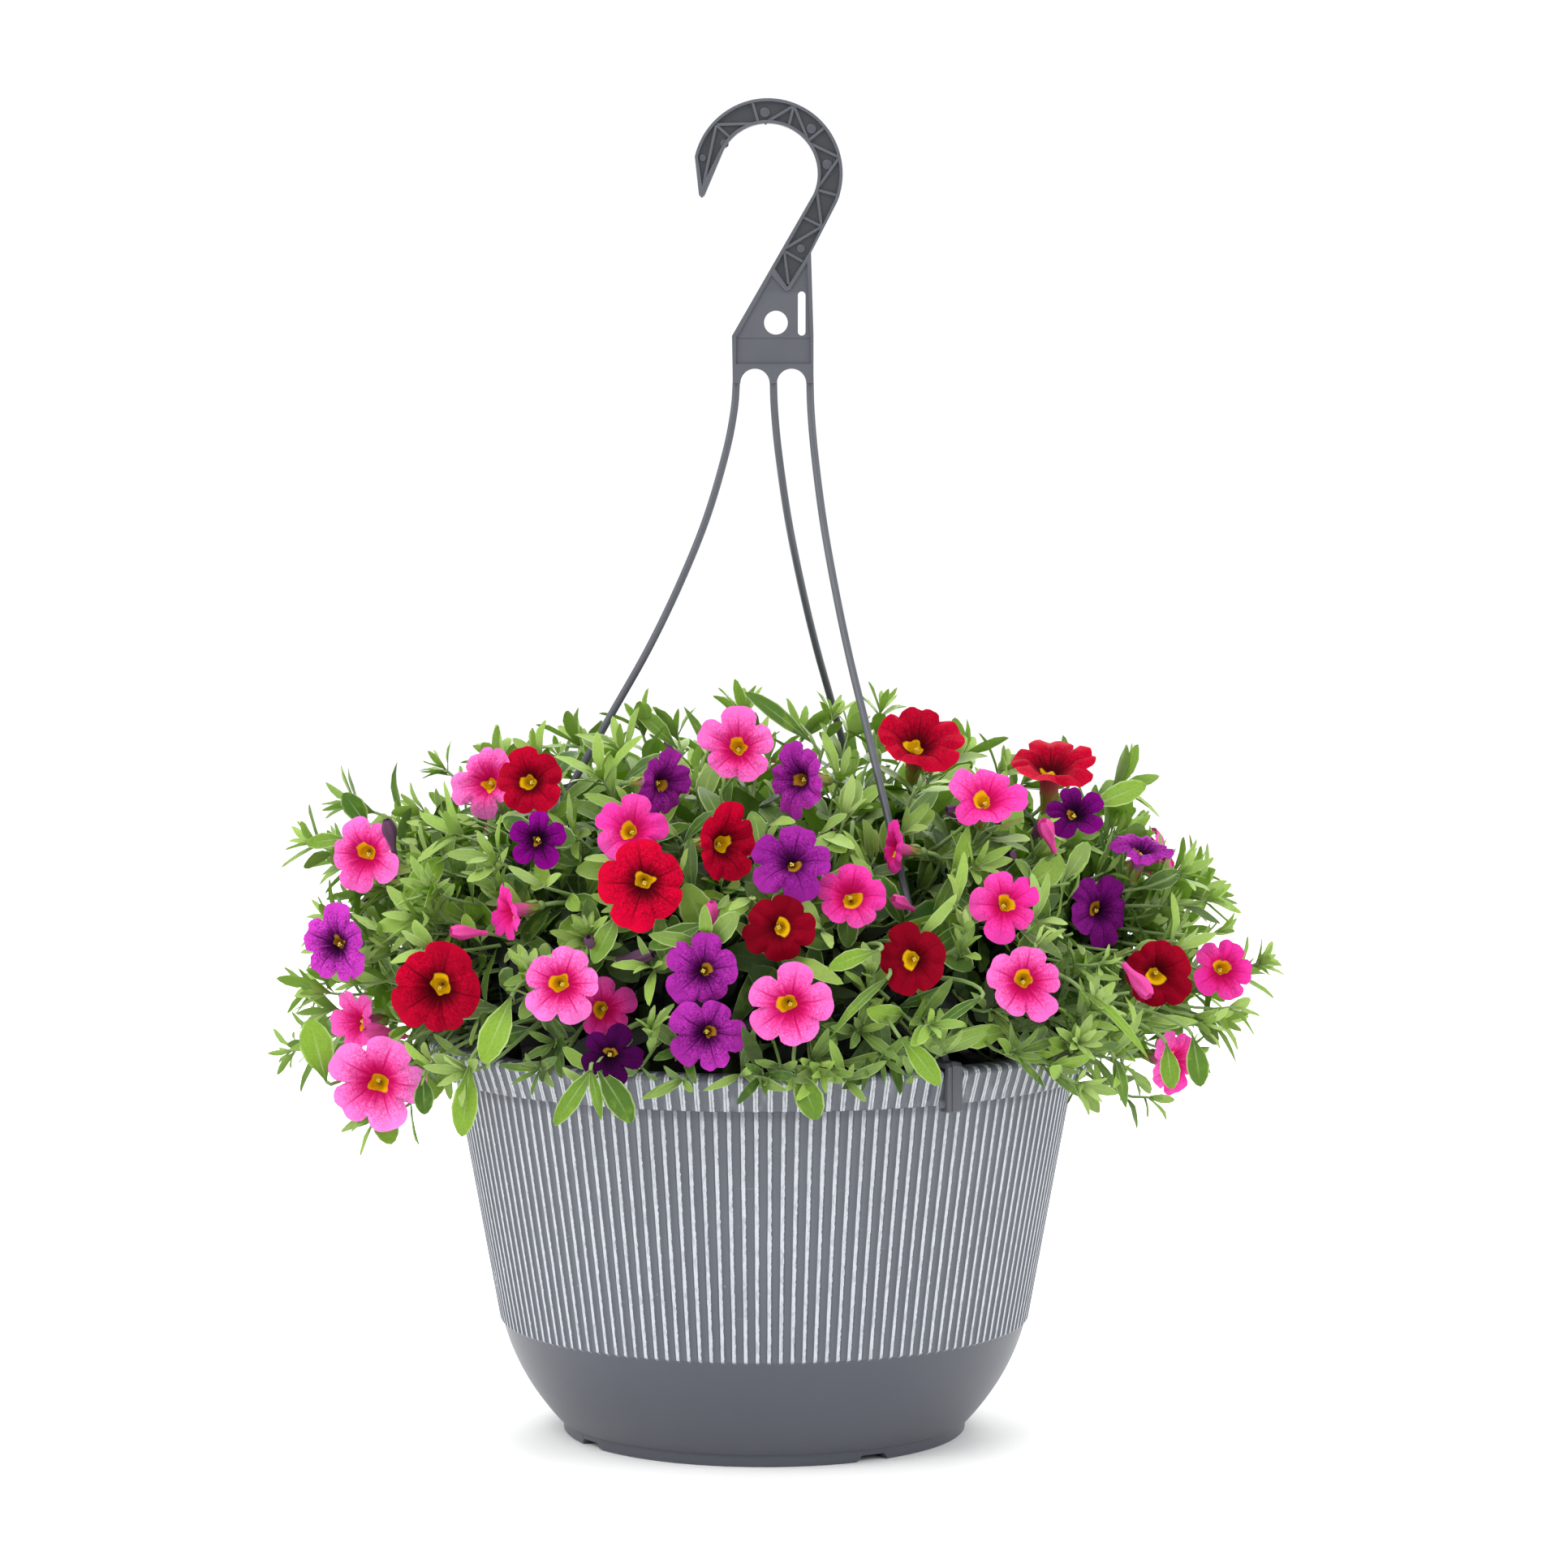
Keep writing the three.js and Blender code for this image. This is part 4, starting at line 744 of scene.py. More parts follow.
def add_holed_band(pot, z, outward):
    """The band of the floor that holds the drain holes, and on the lower side the holes' walls."""
    per = SIDES // DRAIN.count
    low, high = DRAIN.ring - DRAIN.band, DRAIN.ring + DRAIN.band
    for k in range(DRAIN.count):
        azimuths = [TURN * (k * per + i) / SIDES for i in range(per + 1)]
        border = [(high * math.cos(a), high * math.sin(a), z) for a in azimuths]
        border += [(low * math.cos(a), low * math.sin(a), z) for a in reversed(azimuths)]
        middle = azimuths[per // 2]
        centre = np.array([DRAIN.ring * math.cos(middle), DRAIN.ring * math.sin(middle), z])
        hole = centre + unit(np.array(border) - centre) * DRAIN.radius
        pot.skin([border, hole], outward)
        if outward < 0:
            pot.skin([hole, hole + (0, 0, FOOT.floor_top - FOOT.floor_low)])


def build_soil():
    """Crumbly potting soil, level with the pot's inside."""
    share = np.linspace(0, 1, SOIL.rings + 1)[:, None]
    angle = TURN * np.arange(SIDES) / SIDES
    x, y = SOIL.radius * share * np.cos(angle), SOIL.radius * share * np.sin(angle)
    z = SOIL.top_z - (SOIL.top_z - SOIL.edge_z) * share**2 + SOIL.hump * np.sin(0.31 * x) * np.sin(0.27 * y)
    surface = grid_of(x, y, z + rng.uniform(-SOIL.crumb, SOIL.crumb, x.shape))
    soil = Builder()
    soil.skin([*surface, *(circle(radius, level) for radius, level in SOIL_BELOW)], -1)
    soil.piece("soil_bed", soil_material(), "potting_soil", ["soil"])


# ---------------------------------------------------------------- the hanger
def arc(x, z, radius, start, end, steps):
    angles = np.radians(np.linspace(start, end, steps + 1))
    return [(x + radius * math.cos(a), z + radius * math.sin(a)) for a in angles]


def hook_arcs(inset=0.0):
    """The hook's outer and inner rounds, set in from its edge."""
    outer = arc(HOOK.x, HOOK.z, HOOK.outer - inset, *HOOK.outer_arc, 56)
    return outer, arc(HOOK.x, HOOK.z, HOOK.inner + inset, *HOOK.inner_arc, 48)


def hook_outline():
    """The outline of the hook and the plate, as the hanger node has it, with finer arcs."""
    outer, inner = hook_arcs()
    feet = [p for x in ARCH.centres for p in arc(x, PLATE.bottom, ARCH.radius, 0, 180, 16)]
    right = [SHOULDER, (PLATE.right, PLATE.fold_z), (PLATE.right, PLATE.bottom)]
    left = [(PLATE.left, PLATE.bottom), (PLATE.left - PLATE.flare, PLATE.fold_z)]
    return [*HOOK_TIP, *outer, *right, *feet, *left, *inner]


def channel_outline():
    """The pocket between the flanges: round the hook and down the shank to where the ribs end."""
    outer, inner = hook_arcs(HOOK_SECTION.flange)
    return [CHANNEL_TIP, *outer, *CHANNEL_FOOT, *inner]


def slot_outline(border=0.0):
    radius = PLATE_SLOT.width / 2 + border
    upper = arc(PLATE_SLOT.x, PLATE_SLOT.high, radius, 0, 180, 12)
    return upper + arc(PLATE_SLOT.x, PLATE_SLOT.low, radius, 180, 360, 12)


def rib_outline(a, b):
    a, b = np.array(a), np.array(b)
    side = unit(np.array([-(b - a)[1], (b - a)[0]])) * HOOK_SECTION.rib_width / 2
    return [tuple(a + side), tuple(b + side), tuple(b - side), tuple(a - side)][::-1]


def evaluated_mesh(made):
    """The mesh of an object as its modifiers or its curve settings make it."""
    bpy.context.view_layer.update()
    return bpy.data.meshes.new_from_object(made.evaluated_get(bpy.context.evaluated_depsgraph_get()))


def move_points(mesh, rule):
    """Moves a mesh's points by a rule that takes and gives X, Y and Z."""
    points = np.empty(len(mesh.vertices) * 3)
    mesh.vertices.foreach_get("co", points)
    mesh.vertices.foreach_set("co", np.stack(rule(*points.reshape(-1, 3).T), -1).ravel())


def slab(name, outline, depth, holes=(), bevel=0.0):
    """An outline in X and Z with a thickness along Y, as a mesh object."""
    curve = bpy.data.curves.new(name, "CURVE")
    curve.dimensions = "2D"
    curve.fill_mode = "BOTH"
    for points in (outline, *holes):
        spline = curve.splines.new("POLY")
        spline.points.add(len(points) - 1)
        spline.use_cyclic_u = True
        for point, (x, z) in zip(spline.points, points):
            point.co = (x * MM, z * MM, 0.0, 1.0)
    curve.extrude = (depth / 2 - bevel) * MM
    curve.bevel_depth = bevel * MM
    curve.bevel_resolution = 1
    curve.offset = -bevel * MM
    drawn = link_object(name, curve)
    mesh = evaluated_mesh(drawn)
    bpy.data.objects.remove(drawn)
    made = link_object(name, mesh)
    move_points(mesh, lambda x, y, z: (x, -z, y))
    welded = bmesh.new()
    welded.from_mesh(mesh)
    bmesh.ops.remove_doubles(welded, verts=welded.verts, dist=1e-6)
    bmesh.ops.recalc_face_normals(welded, faces=welded.faces)
    welded.to_mesh(mesh)
    welded.free()
    return made


def arm_points(index, steps=64):
    """The arm's line, as the hanger node has it, drawn with a smooth curve."""
    start, end = ARM.starts[index], facing(ARM.azimuths[index]) * ARM.reach
    rows = np.array([(start + (end[0] - start) * share, end[1] * share, z) for z, share in ARM_BOW])
    slopes = np.gradient(rows, axis=0)
    points = []
    for t in np.linspace(0, len(rows) - 1, steps):
        i = min(int(t), len(rows) - 2)
        s = t - i
        h = (2 * s**3 - 3 * s**2 + 1, s**3 - 2 * s**2 + s, -2 * s**3 + 3 * s**2, s**3 - s**2)
        points.append(h[0] * rows[i] + h[1] * slopes[i] + h[2] * rows[i + 1] + h[3] * slopes[i + 1])
    return np.array(points)


def tube(builder, points, radii, sides):
    """A round tube along points, closed at both ends."""
    points = np.asarray(points, float)
    radii = np.broadcast_to(radii, len(points))
    tangents = unit(np.gradient(points, axis=0))
    side, _ = basis(tangents[0])
    angles = TURN * np.arange(sides)[:, None] / sides
    rings = []
    for point, tangent, radius in zip(points, tangents, radii):
        side = unit(side - np.dot(side, tangent) * tangent)
        rings.append(point + radius * (np.cos(angles) * side + np.sin(angles) * np.cross(tangent, side)))
    last = (len(rings) - 1) * sides
    ends = [list(range(sides))[::-1], list(range(last, last + sides))]
    builder.add(rings, grid_faces(len(rings), sides, wrap=True).tolist() + ends)


def union(target, others):
    """Joins solids into target by one Boolean union, and removes them."""
    parts = bpy.data.collections.new("parts")
    for other in others:
        parts.objects.link(other)
    modifier = target.modifiers.new("union", "BOOLEAN")
    modifier.operation = "UNION"
    modifier.operand_type = "COLLECTION"
    modifier.collection = parts
    modifier.solver = "MANIFOLD"
    joined = evaluated_mesh(target)
    target.modifiers.clear()
    target.data = joined
    for other in others:
        bpy.data.objects.remove(other)
    bpy.data.collections.remove(parts)


def clip_objects(index):
    """The clip over the rim: a bent strip with a raised rib down the middle of its outside."""
    inside = body_radius(CLIP.leg) - WALL - 0.9
    outside, under = RIM.radius + CLIP.slack, RIM.top_z + CLIP.slack
    heel, low, leg, foot = RIM.low_radius + 1.4, CLIP.low, CLIP.leg, CLIP.low - CLIP.lip
    angle = math.radians(ARM.azimuths[index] - 90)
    c, s = math.cos(angle), math.sin(angle)
    made = []
    for width, more, bevel in ((CLIP.width, 0.0, 0.5), (CLIP.rib, CLIP.raised, 0.4)):
        out, top = CLIP.out + more, CLIP.top + more
        outline = [
            (inside - 2, leg), (inside - 2, top - 1.2), (inside - 1, top), (out - 1.2, top), (out, top - 1.4),
            (out, foot + 0.6), (out - 0.6, foot), (heel, foot), (heel, low), (outside, low + 0.4),
            (outside, under), (inside, under), (inside, leg),
        ]
        clip = slab(f"clip_{index}", outline, width, bevel=bevel)
        move_points(clip.data, lambda x, y, z: (c * x - s * y, s * x + c * y, z))
        made.append(clip)
    return made


def build_hanger():
    """Web, flanges, fields, ribs, bosses, collar, arms and clips as one moulding."""
    hole = arc(PLATE_HOLE.x, PLATE_HOLE.z, PLATE_HOLE.radius, 0, 348.75, 31)
    openings = [hole, slot_outline()]
    size = HOOK_SECTION
    web = slab("hanger_moulding", hook_outline(), size.web, openings, bevel=0.2)
    parts = [slab("flange", hook_outline(), size.depth, [channel_outline(), PLATE_POCKET], bevel=0.25)]
    parts.append(slab("upper_field", UPPER_FIELD, size.field, openings))
    parts.append(slab("lower_field", LOWER_FIELD, size.low_field))
    for i, (a, b) in enumerate(HOOK_RIBS):
        parts.append(slab(f"rib_{i}", rib_outline(a, b), size.rib, bevel=0.15))
    for i, (x, z, radius) in enumerate(BOSSES):
        parts.append(slab(f"boss_{i}", arc(x, z, radius, 0, 340, 17), size.boss, bevel=0.2))
    collar = slot_outline(PLATE_SLOT.border)
    parts.append(slab("slot_collar", collar, size.field, [slot_outline()], bevel=0.2))
    for i in range(len(ARM.azimuths)):
        arm = Builder()
        tube(arm, arm_points(i), ARM.radius, 14)
        parts.append(arm.bare(f"arm_{i}"))
        parts += clip_objects(i)
    union(web, parts)
    dress(web, hanger_material(), ["hanger"], sharp=32)


# ---------------------------------------------------------------- blooms
def bloom_rows():
    """Every bloom, in the order of the random draws."""
    draw = mulberry32(SEED)
    rows = []
    for colour, blooms in BLOOMS.items():
        for letter, x, y, z, *rest in blooms:
            rows.append((f"{colour}_{letter}", colour, (x, y, z), *rest))
    for node, azimuth, z, lift in BACK_PAIRS:
        radius = dome_radius(azimuth, BACK.scale) * dome_share(rise_of(z))
        middle = facing(azimuth) * radius + (0, 0, z)
        for side in (-1, 1):
            at = middle + facing(azimuth + 90) * side * BACK.spread
            turned = (azimuth + side * BACK.fan, lift + side * 4)
            rows.append((node, node.split("_")[0], tuple(at), BACK.size, *turned, None))
    return [Bloom(*row, draw() * TURN) for row in rows]


def bloom_frame(bloom):
    """The rotation from a bloom's own frame, in which it faces up, to where it faces."""
    roll = bloom.roll
    turned = Vector((0, 0, 1)).rotation_difference(Vector(facing(bloom.turn, bloom.lift))).to_matrix()
    spin = np.array([[math.cos(roll), -math.sin(roll), 0], [math.sin(roll), math.cos(roll), 0], [0, 0, 1]])
    return np.array(turned) @ spin


def add_bloom(builder, bloom):
    """One bloom: five lobes round a funnel that leans to one side, a tube behind, and anthers."""
    rotation = bloom_frame(bloom)
    radius = bloom.size / 2
    theta = TURN * np.arange(BLOOM_COLUMNS) / BLOOM_COLUMNS
    share = (theta / TURN * 5) % 1.0 - 0.5
    mid = 2 * np.abs(share)
    lobes = (theta / TURN * 5).astype(int)
    cut, opening, roundness, ruffle = LOBES[bloom.colour]
    notch = rng.uniform(*cut, 5)
    notch = np.where(share < 0, notch[lobes], notch[(lobes + 1) % 5])
    long = rng.uniform(*LOBE.long, 5)[lobes]
    dent = rng.uniform(*LOBE.dent, 5)[lobes] * bell(mid, 0.2)
    edge = radius * (notch + (long - notch) * (1 - mid**roundness) ** 0.6) * (1 - dent)
    curl = rng.uniform(*LOBE.curl, 5)[lobes] * (1 - 0.7 * mid**2)
    wave = rng.uniform(0, TURN, 5)[lobes]
    mouth = rng.uniform(*opening)
    first, second = rng.uniform(0, TURN, 2)
    around = theta + 0.09 * np.sin(theta + first) + 0.05 * np.sin(2 * theta + second)
    ray_x, ray_y = np.cos(around), np.sin(around)

    r, z, aside, value = np.array(FUNNEL).T[..., None]
    funnel = grid_of(radius * mouth * (r * ray_x - aside), radius * mouth * r * ray_y, z * radius)
    funnel_reach = value + 0 * theta
    s = np.linspace(0, 1, LOBE.rings)[:, None]
    r = mouth * radius + (edge - mouth * radius) * s
    z = radius * (-0.20 + 0.25 * smoothstep(-0.1, 0.55, s) - curl * s**2.2)
    z = z - radius * 0.05 * bell(mid, 0.2) * (1 - s) * smoothstep(0, 0.15, s)
    z = z - radius * 0.05 * bell(1 - mid, 0.16) * smoothstep(0.25, 0.8, s)
    z = z + radius * ruffle * np.sin(3.2 * TURN * share + wave) * s**2
    z = z + radius * 0.05 * np.sin(math.pi * mid) * smoothstep(0.1, 0.7, s)
    petals = grid_of(r * ray_x, r * ray_y, z)
    petal_reach = (r / radius - mouth) / (1 - mouth)

    back = petals.copy()
    back[:-1, :, 2] -= LOBE.thickness + 0.5 * (1 - np.linspace(0, 1, LOBE.rings - 1))[:, None]
    back[..., :2] *= np.maximum(1.0, 0.24 * radius / np.linalg.norm(back[..., :2], axis=-1, keepdims=True))
    r, z, value = np.array(NECK).T[..., None]
    neck = grid_of(r * radius * ray_x, r * radius * ray_y, z * radius)
    neck_reach = value + 0 * theta

    tint = rng.uniform(0.1, 0.9) if bloom.deep is None else bloom.deep
    # Each lobe a little lighter or darker at random: painted light and shade for lobes that meet the light at
    # different angles.
    shades = np.clip(tint + rng.uniform(-LOBE.shade, LOBE.shade, 5)[lobes], 0, 1)
    for points, reach, outer in (((funnel, petals), funnel_reach, 0.0), ((neck, back), neck_reach, 1.0)):
        builder.skin(
            np.concatenate(points) @ rotation.T + bloom.at, 1 if outer == 0.0 else -1,
            reach=np.concatenate([reach, petal_reach]), mid=mid, outer=outer, tint=shades,
            ray_x=np.cos(theta), ray_y=np.sin(theta),
        )
    for k in range(ANTHERS.count):
        angle = TURN * k / ANTHERS.count + bloom.roll
        height = -ANTHERS.depth * radius + 0.5 * (k % 2)
        spot = np.array([ANTHERS.ring * math.cos(angle), ANTHERS.ring * math.sin(angle), height])
        add_ball(builder, spot @ rotation.T + bloom.at, ANTHERS.radius, outer=2.0, tint=tint)


def add_ball(builder, centre, radius, **values):
    latitude = np.linspace(-0.5 * math.pi, 0.5 * math.pi, 5)[:, None]
    longitude = TURN * np.arange(8) / 8
    flat = np.cos(latitude)
    ball = grid_of(flat * np.cos(longitude), flat * np.sin(longitude), np.sin(latitude))
    builder.skin(ball * radius + centre, **values)


def build_blooms(blooms, materials):
    for node in dict.fromkeys(bloom.node for bloom in blooms):
        members = [bloom for bloom in blooms if bloom.node == node]
        builder = Builder(*PETAL_VALUES)
        for bloom in members:
            add_bloom(builder, bloom)
        colour = members[0].colour
        builder.piece(f"flower_{node}", materials[colour], f"petal_{colour}", [f"bloom_{node}"])


# ---------------------------------------------------------------- leaves
class Leaves:
    """Collects leaves as rows of numbers, keeps those that are clear, and makes their mesh at once."""

    def __init__(self, blooms):
        self.rows = {grid: [] for grid in LEAF_GRIDS}
        self.centres = np.array([bloom.at for bloom in blooms], float)
        self.axes = np.array([facing(bloom.turn, bloom.lift) for bloom in blooms])
        self.sizes = np.array([bloom.size for bloom in blooms], float)
        self.arms = np.concatenate([arm_points(i) for i in range(len(ARM.azimuths))])
        faced = self.axes[:, 1] < -SEEN.facing
        clip = np.array([facing(ARM.azimuths[1]) * CLIP.out + (0, 0, z) for z in SEEN.clip_heights])
        arm = np.array([p for p in arm_points(1) if p[2] > SEEN.arm_above])
        self.shown = np.concatenate([self.centres[faced], arm, clip])
        margins = [SEEN.bloom * self.sizes[faced], np.full(len(arm), SEEN.arm), np.full(len(clip), SEEN.clip)]
        self.margin = np.concatenate(margins)
        self.sight = unit(np.array(EYE) - self.shown)

    def clear(self, points):
        """Whether points keep off the blooms, the arms and the pot, and don't hide what the photo shows."""
        away = points[:, None, :] - self.centres[None]
        height = np.einsum("pbk,bk->pb", away, self.axes)
        flat = np.linalg.norm(away - height[..., None] * self.axes[None], axis=-1)
        in_front = (height > KEEP.back) & (height < KEEP.ahead)
        if np.any(in_front & (flat < KEEP.face * self.sizes + KEEP.cone * height)):
            return False
        share = 1 + height / (TUBE * self.sizes)
        behind = (height <= KEEP.back) & (share > 0.0)
        if np.any(behind & (flat < KEEP.tube + self.sizes * (KEEP.tube_foot + KEEP.tube_flare * share))):
            return False
        away = points[:, None, :] - self.shown[None]
        ahead = np.einsum("pbk,bk->pb", away, self.sight)
        aside = np.linalg.norm(away - ahead[..., None] * self.sight[None], axis=-1)
        if np.any((ahead > 0) & (aside < self.margin)):
            return False
        if np.min(np.linalg.norm(points[:, None] - self.arms[None], axis=-1)) < KEEP.arm:
            return False
        x, y, z = points.T
        r = np.hypot(x, y)
        in_wall = (z < RIM.low_z + 0.4) & (r < body_radius(z) + KEEP.pot)
        in_rim = (z < KEEP_RIM.top) & (r > KEEP_RIM.inner) & (r < KEEP_RIM.outer)
        over_front = (z < FRONT_RIM.top) & (y < FRONT_RIM.y) & (x > FRONT_RIM.left) & (x < FRONT_RIM.right)
        return not np.any(in_wall | in_rim | over_front)

    def try_leaf(self, root, direction, up, length, width, bend, *, tint, fold=0.25, young=0.0, oval=1.0,
                 check=True, grid="fine"):
        """Keeps a leaf if it is clear, or in any case where check is off."""
        direction = unit(direction)
        up = unit(up - np.dot(up, direction) * direction)
        t = np.array([0.25, 0.6, 1.0])
        forward = np.outer(np.sin(bend * t) / max(bend, 1e-3), direction)
        line = root + length * (forward - np.outer((1 - np.cos(bend * t)) / max(bend, 1e-3), up))
        side = np.cross(up, direction) * width * 0.45
        if check and not self.clear(np.concatenate([line, line[1:2] + side, line[1:2] - side])):
            return
        # Painted shade: leaves inside the bush get a lower tint and are drawn darker.
        tint = max(tint - shade_at(line[1]), -1.0)
        row = (*root, *direction, *up, length, width, bend, fold, tint, young, oval, rng.uniform(-0.5, 0.5))
        self.rows[grid].append(row)

    def add_to(self, builder):
        for grid, rows in self.rows.items():
            if rows:
                self.add_blades(builder, np.array(rows), *LEAF_GRIDS[grid])

    def add_blades(self, builder, data, rows, columns):
        """Leaves as two grids each, a top and an underside that meet at the margin."""
        root, along, up = (data[:, None, None, k:k + 3] for k in (0, 3, 6))
        length, width, bend, fold, tint, young, oval, twist = data.T[9:, :, None, None]
        side = np.cross(up, along)
        u = (0.5 - 0.5 * np.cos(math.pi * np.linspace(0, 1, rows)))[None, :, None]
        v = np.linspace(-1, 1, columns)[None, None, :]
        wide = np.sin(math.pi * u**1.25) ** 0.58 * (0.5 + 0.5 * smoothstep(0, 0.5, u))
        thin = np.sin(math.pi * u**0.85) ** 0.85
        outline = 0.5 * width * np.maximum(oval * wide + (1 - oval) * thin, 0.0)
        outline = np.maximum(outline, 0.5 * np.minimum(width * 0.12, 0.9) * (1 - u) + 0.02)
        angle = np.maximum(bend, 1e-3) * u
        forward = length * np.sin(angle) / np.maximum(bend, 1e-3)
        drop = length * (1 - np.cos(angle)) / np.maximum(bend, 1e-3)
        across = outline * v
        lift = fold * np.abs(across) - 0.12 * across**2 / np.maximum(outline, 0.3)
        turn = twist * u
        flat = across * np.cos(turn) - lift * np.sin(turn)
        rise = across * np.sin(turn) + lift * np.cos(turn)
        rise = rise + 0.3 * np.sin(9.0 * u + 7.0 * twist) * np.abs(v)
        thickness = LEAF_THICKNESS * (1 - np.abs(v) ** 3) * np.sin(math.pi * np.clip(u, 0.0, 1.0)) ** 0.4
        first = (np.arange(len(data)) * rows * columns)[:, None, None]
        for below, flip, back in ((0 * thickness, 1, 0.0), (thickness, -1, 1.0)):
            high = rise - below
            ahead = (forward + high * np.sin(angle))[..., None] * along
            upward = (high * np.cos(angle) - drop)[..., None] * up
            faces = (grid_faces(rows, columns)[None, :, ::flip] + first).reshape(-1, 4)
            values = dict(along=u, across=np.abs(v), tint=tint, young=young, back=back)
            builder.add(root + ahead + flat[..., None] * side + upward, faces, **values)


def azimuth_of(tip):
    return math.degrees(math.atan2(tip[0], -tip[1]))


def shoot_curve(centre, tip, droop=0.18):
    """A stem from inside its spray, up and out, then over to its tip."""
    away = np.asarray(tip, float) - centre
    start = centre + STEM.start * away
    rise = start + STEM.rise * away + (0, 0, droop * np.linalg.norm(away))
    arrival = unit(np.array([tip[0], tip[1], tip[2] - 200.0 + rng.uniform(0, 90)]))
    near = tip - arrival * STEM.turn * np.linalg.norm(away)
    return bezier(start, rise, near, np.asarray(tip, float), STEM.points)


class Spray:
    """A group of stems and leaves that grow from one place."""

    def __init__(self, name, centre, blooms):
        self.name, self.centre = name, np.array(centre, float)
        self.leaves, self.stems = Leaves(blooms), Builder()

    def clear_route(self, tip):
        """A stem's curve to about a tip that keeps off the blooms and the arms, or None."""
        for i in range(7):
            nearer = self.centre + (tip - self.centre) * (1 - 0.03 * i)
            curve = shoot_curve(self.centre, nearer + rng.uniform(-1, 1, 3) * 2.0 * i, 0.18 - 0.06 * (i % 4))
            if self.leaves.clear(curve[2:]):
                return curve
        return None

    def stalk_curve(self, end, axis):
        """A stalk to an end that it meets along an axis, as clear of the blooms as can be."""
        away = end - self.centre
        reach = np.linalg.norm(away)
        start = self.centre + STEM.start * away
        across = np.array([away[1], -away[0], 0.0]) / reach
        for aside in (0.0, 0.3, -0.3):
            for droop in (0.12, 0.0, 0.25, -0.1, -0.2):
                rise = start + STEM.rise * away + (0, 0, droop * reach) + aside * reach * across
                curve = bezier(start, rise, end - axis * STEM.turn * reach, end, STEM.points)
                if self.leaves.clear(curve[2:-1]):
                    return curve
        return curve

    def shoot(self, tip, leaf_length, narrow, *, needed=False, painted_shade_tone=0.0):
        """A stem with leaves by the golden angle, broad below and narrow in the rosette at its tip."""
        curve = self.clear_route(tip)
        if curve is None:
            if not needed:
                return
            curve = shoot_curve(self.centre, tip)
        tube(self.stems, curve, np.linspace(1.1, 0.55, len(curve)), 5)
        steps = np.linalg.norm(np.diff(curve, axis=0), axis=1)
        total = steps.sum()
        distance = np.concatenate([[0], np.cumsum(steps)])

        def point_at(d):
            return np.array([np.interp(d, distance, curve[:, k]) for k in range(3)])

        shade = painted_shade_tone + rng.uniform(-0.3, 0.3)
        span = min(total * 0.94, GROWTH.leafy)
        count = int(span / GROWTH.spacing)
        first = rng.uniform(0, TURN)
        for i in range(count):
            back = span * (1 - (i + 0.5) / count)
            point = point_at(total - back)
            ahead = unit(point_at(min(total - back + 3, total)) - point + 1e-6)
            out = across_axis(ahead, first + i * GOLDEN)
            near_tip = max(0.0, 1 - back / GROWTH.tip)
            spread = rng.uniform(0.3, 0.8) + 0.8 * near_tip
            length = leaf_length * rng.uniform(0.9, 1.25) * (1 - 0.38 * near_tip)
            slim = narrow * (0.7 + 0.3 * near_tip)
            width = length * (0.47 - 0.28 * slim) * rng.uniform(0.9, 1.12)
            bend, fold = rng.uniform(0.2, 0.8), rng.uniform(0.05, 0.4)
            # Leaves further back from the tip are drawn darker: painted shade inside the bush.
            tint = 0.5 + shade + rng.uniform(-0.5, 0.5) - max(0.0, back - GROWTH.tip) / 90
            grid = "deep" if back > GROWTH.deep else "fine"
            self.leaves.try_leaf(
                point + out * 0.6, out + spread * ahead + (0, 0, 0.2), ahead, length, width, bend, fold=fold,
                tint=tint, young=0.5 * near_tip**2, oval=1 - slim, grid=grid,
            )
        young = rng.uniform(0.4, 1.0) * (1 + painted_shade_tone)
        self.rosette(curve[-1], unit(curve[-1] - curve[-2]), leaf_length, 6, young, painted_shade_tone=painted_shade_tone, narrow=narrow)

    def rosette(self, tip, ahead, leaf_length, count, young, *, painted_shade_tone=0.0, narrow=0.0):
        """Small leaves round the end of a shoot, the inner ones shorter and more upright."""
        first = rng.uniform(0, TURN)
        for i in range(count):
            out = across_axis(ahead, first + i * GOLDEN)
            inner = (i + 0.5) / count
            length = leaf_length * (0.85 - 0.4 * inner) * rng.uniform(0.9, 1.1)
            width = length * rng.uniform(0.25, 0.32) * (1 - 0.3 * narrow)
            self.leaves.try_leaf(
                tip - ahead * 3.0 * (1 - inner), out + ahead * (0.7 + 2.2 * inner), ahead, length, width,
                rng.uniform(0.1, 0.7), fold=0.35, tint=rng.uniform(0.4, 1.0) + painted_shade_tone,
                young=young * (0.5 + 0.5 * inner), oval=0.75, grid="small",
            )

    def pale_rosette(self, tip, ahead, leaf_length):
        """A downy rosette with a ring of larger leaves under it, on its own stalk."""
        stalk = self.stalk_curve(tip, ahead)
        if not self.leaves.clear(stalk[2:]):
            stalk = stalk[-4:]
        tube(self.stems, stalk, np.linspace(1.1, 0.8, len(stalk)), 5)
        self.rosette(tip, ahead, leaf_length, 10, 0.9)
        self.rosette(tip - ahead * 9, ahead, 1.25 * leaf_length, 5, 0.5)

    def calyx(self, at, axis, size):
        """Five narrow sepals round the foot of a bloom's tube."""
        foot = at - axis * size * TUBE
        radii = [0.8, 0.11 * size / 2 + 0.6, 0.11 * size / 2 + 0.5]
        tube(self.stems, [foot - axis * 1.5, foot, foot + axis * 3.0], radii, 8)
        for k in range(5):
            out = across_axis(axis, TURN * k / 5)
            self.leaves.try_leaf(
                foot + out * 1.2, axis + out * 0.4, out, size * 0.3, 2.0, 0.3, tint=0.5, young=0.6, oval=0.2,
                check=False,
            )

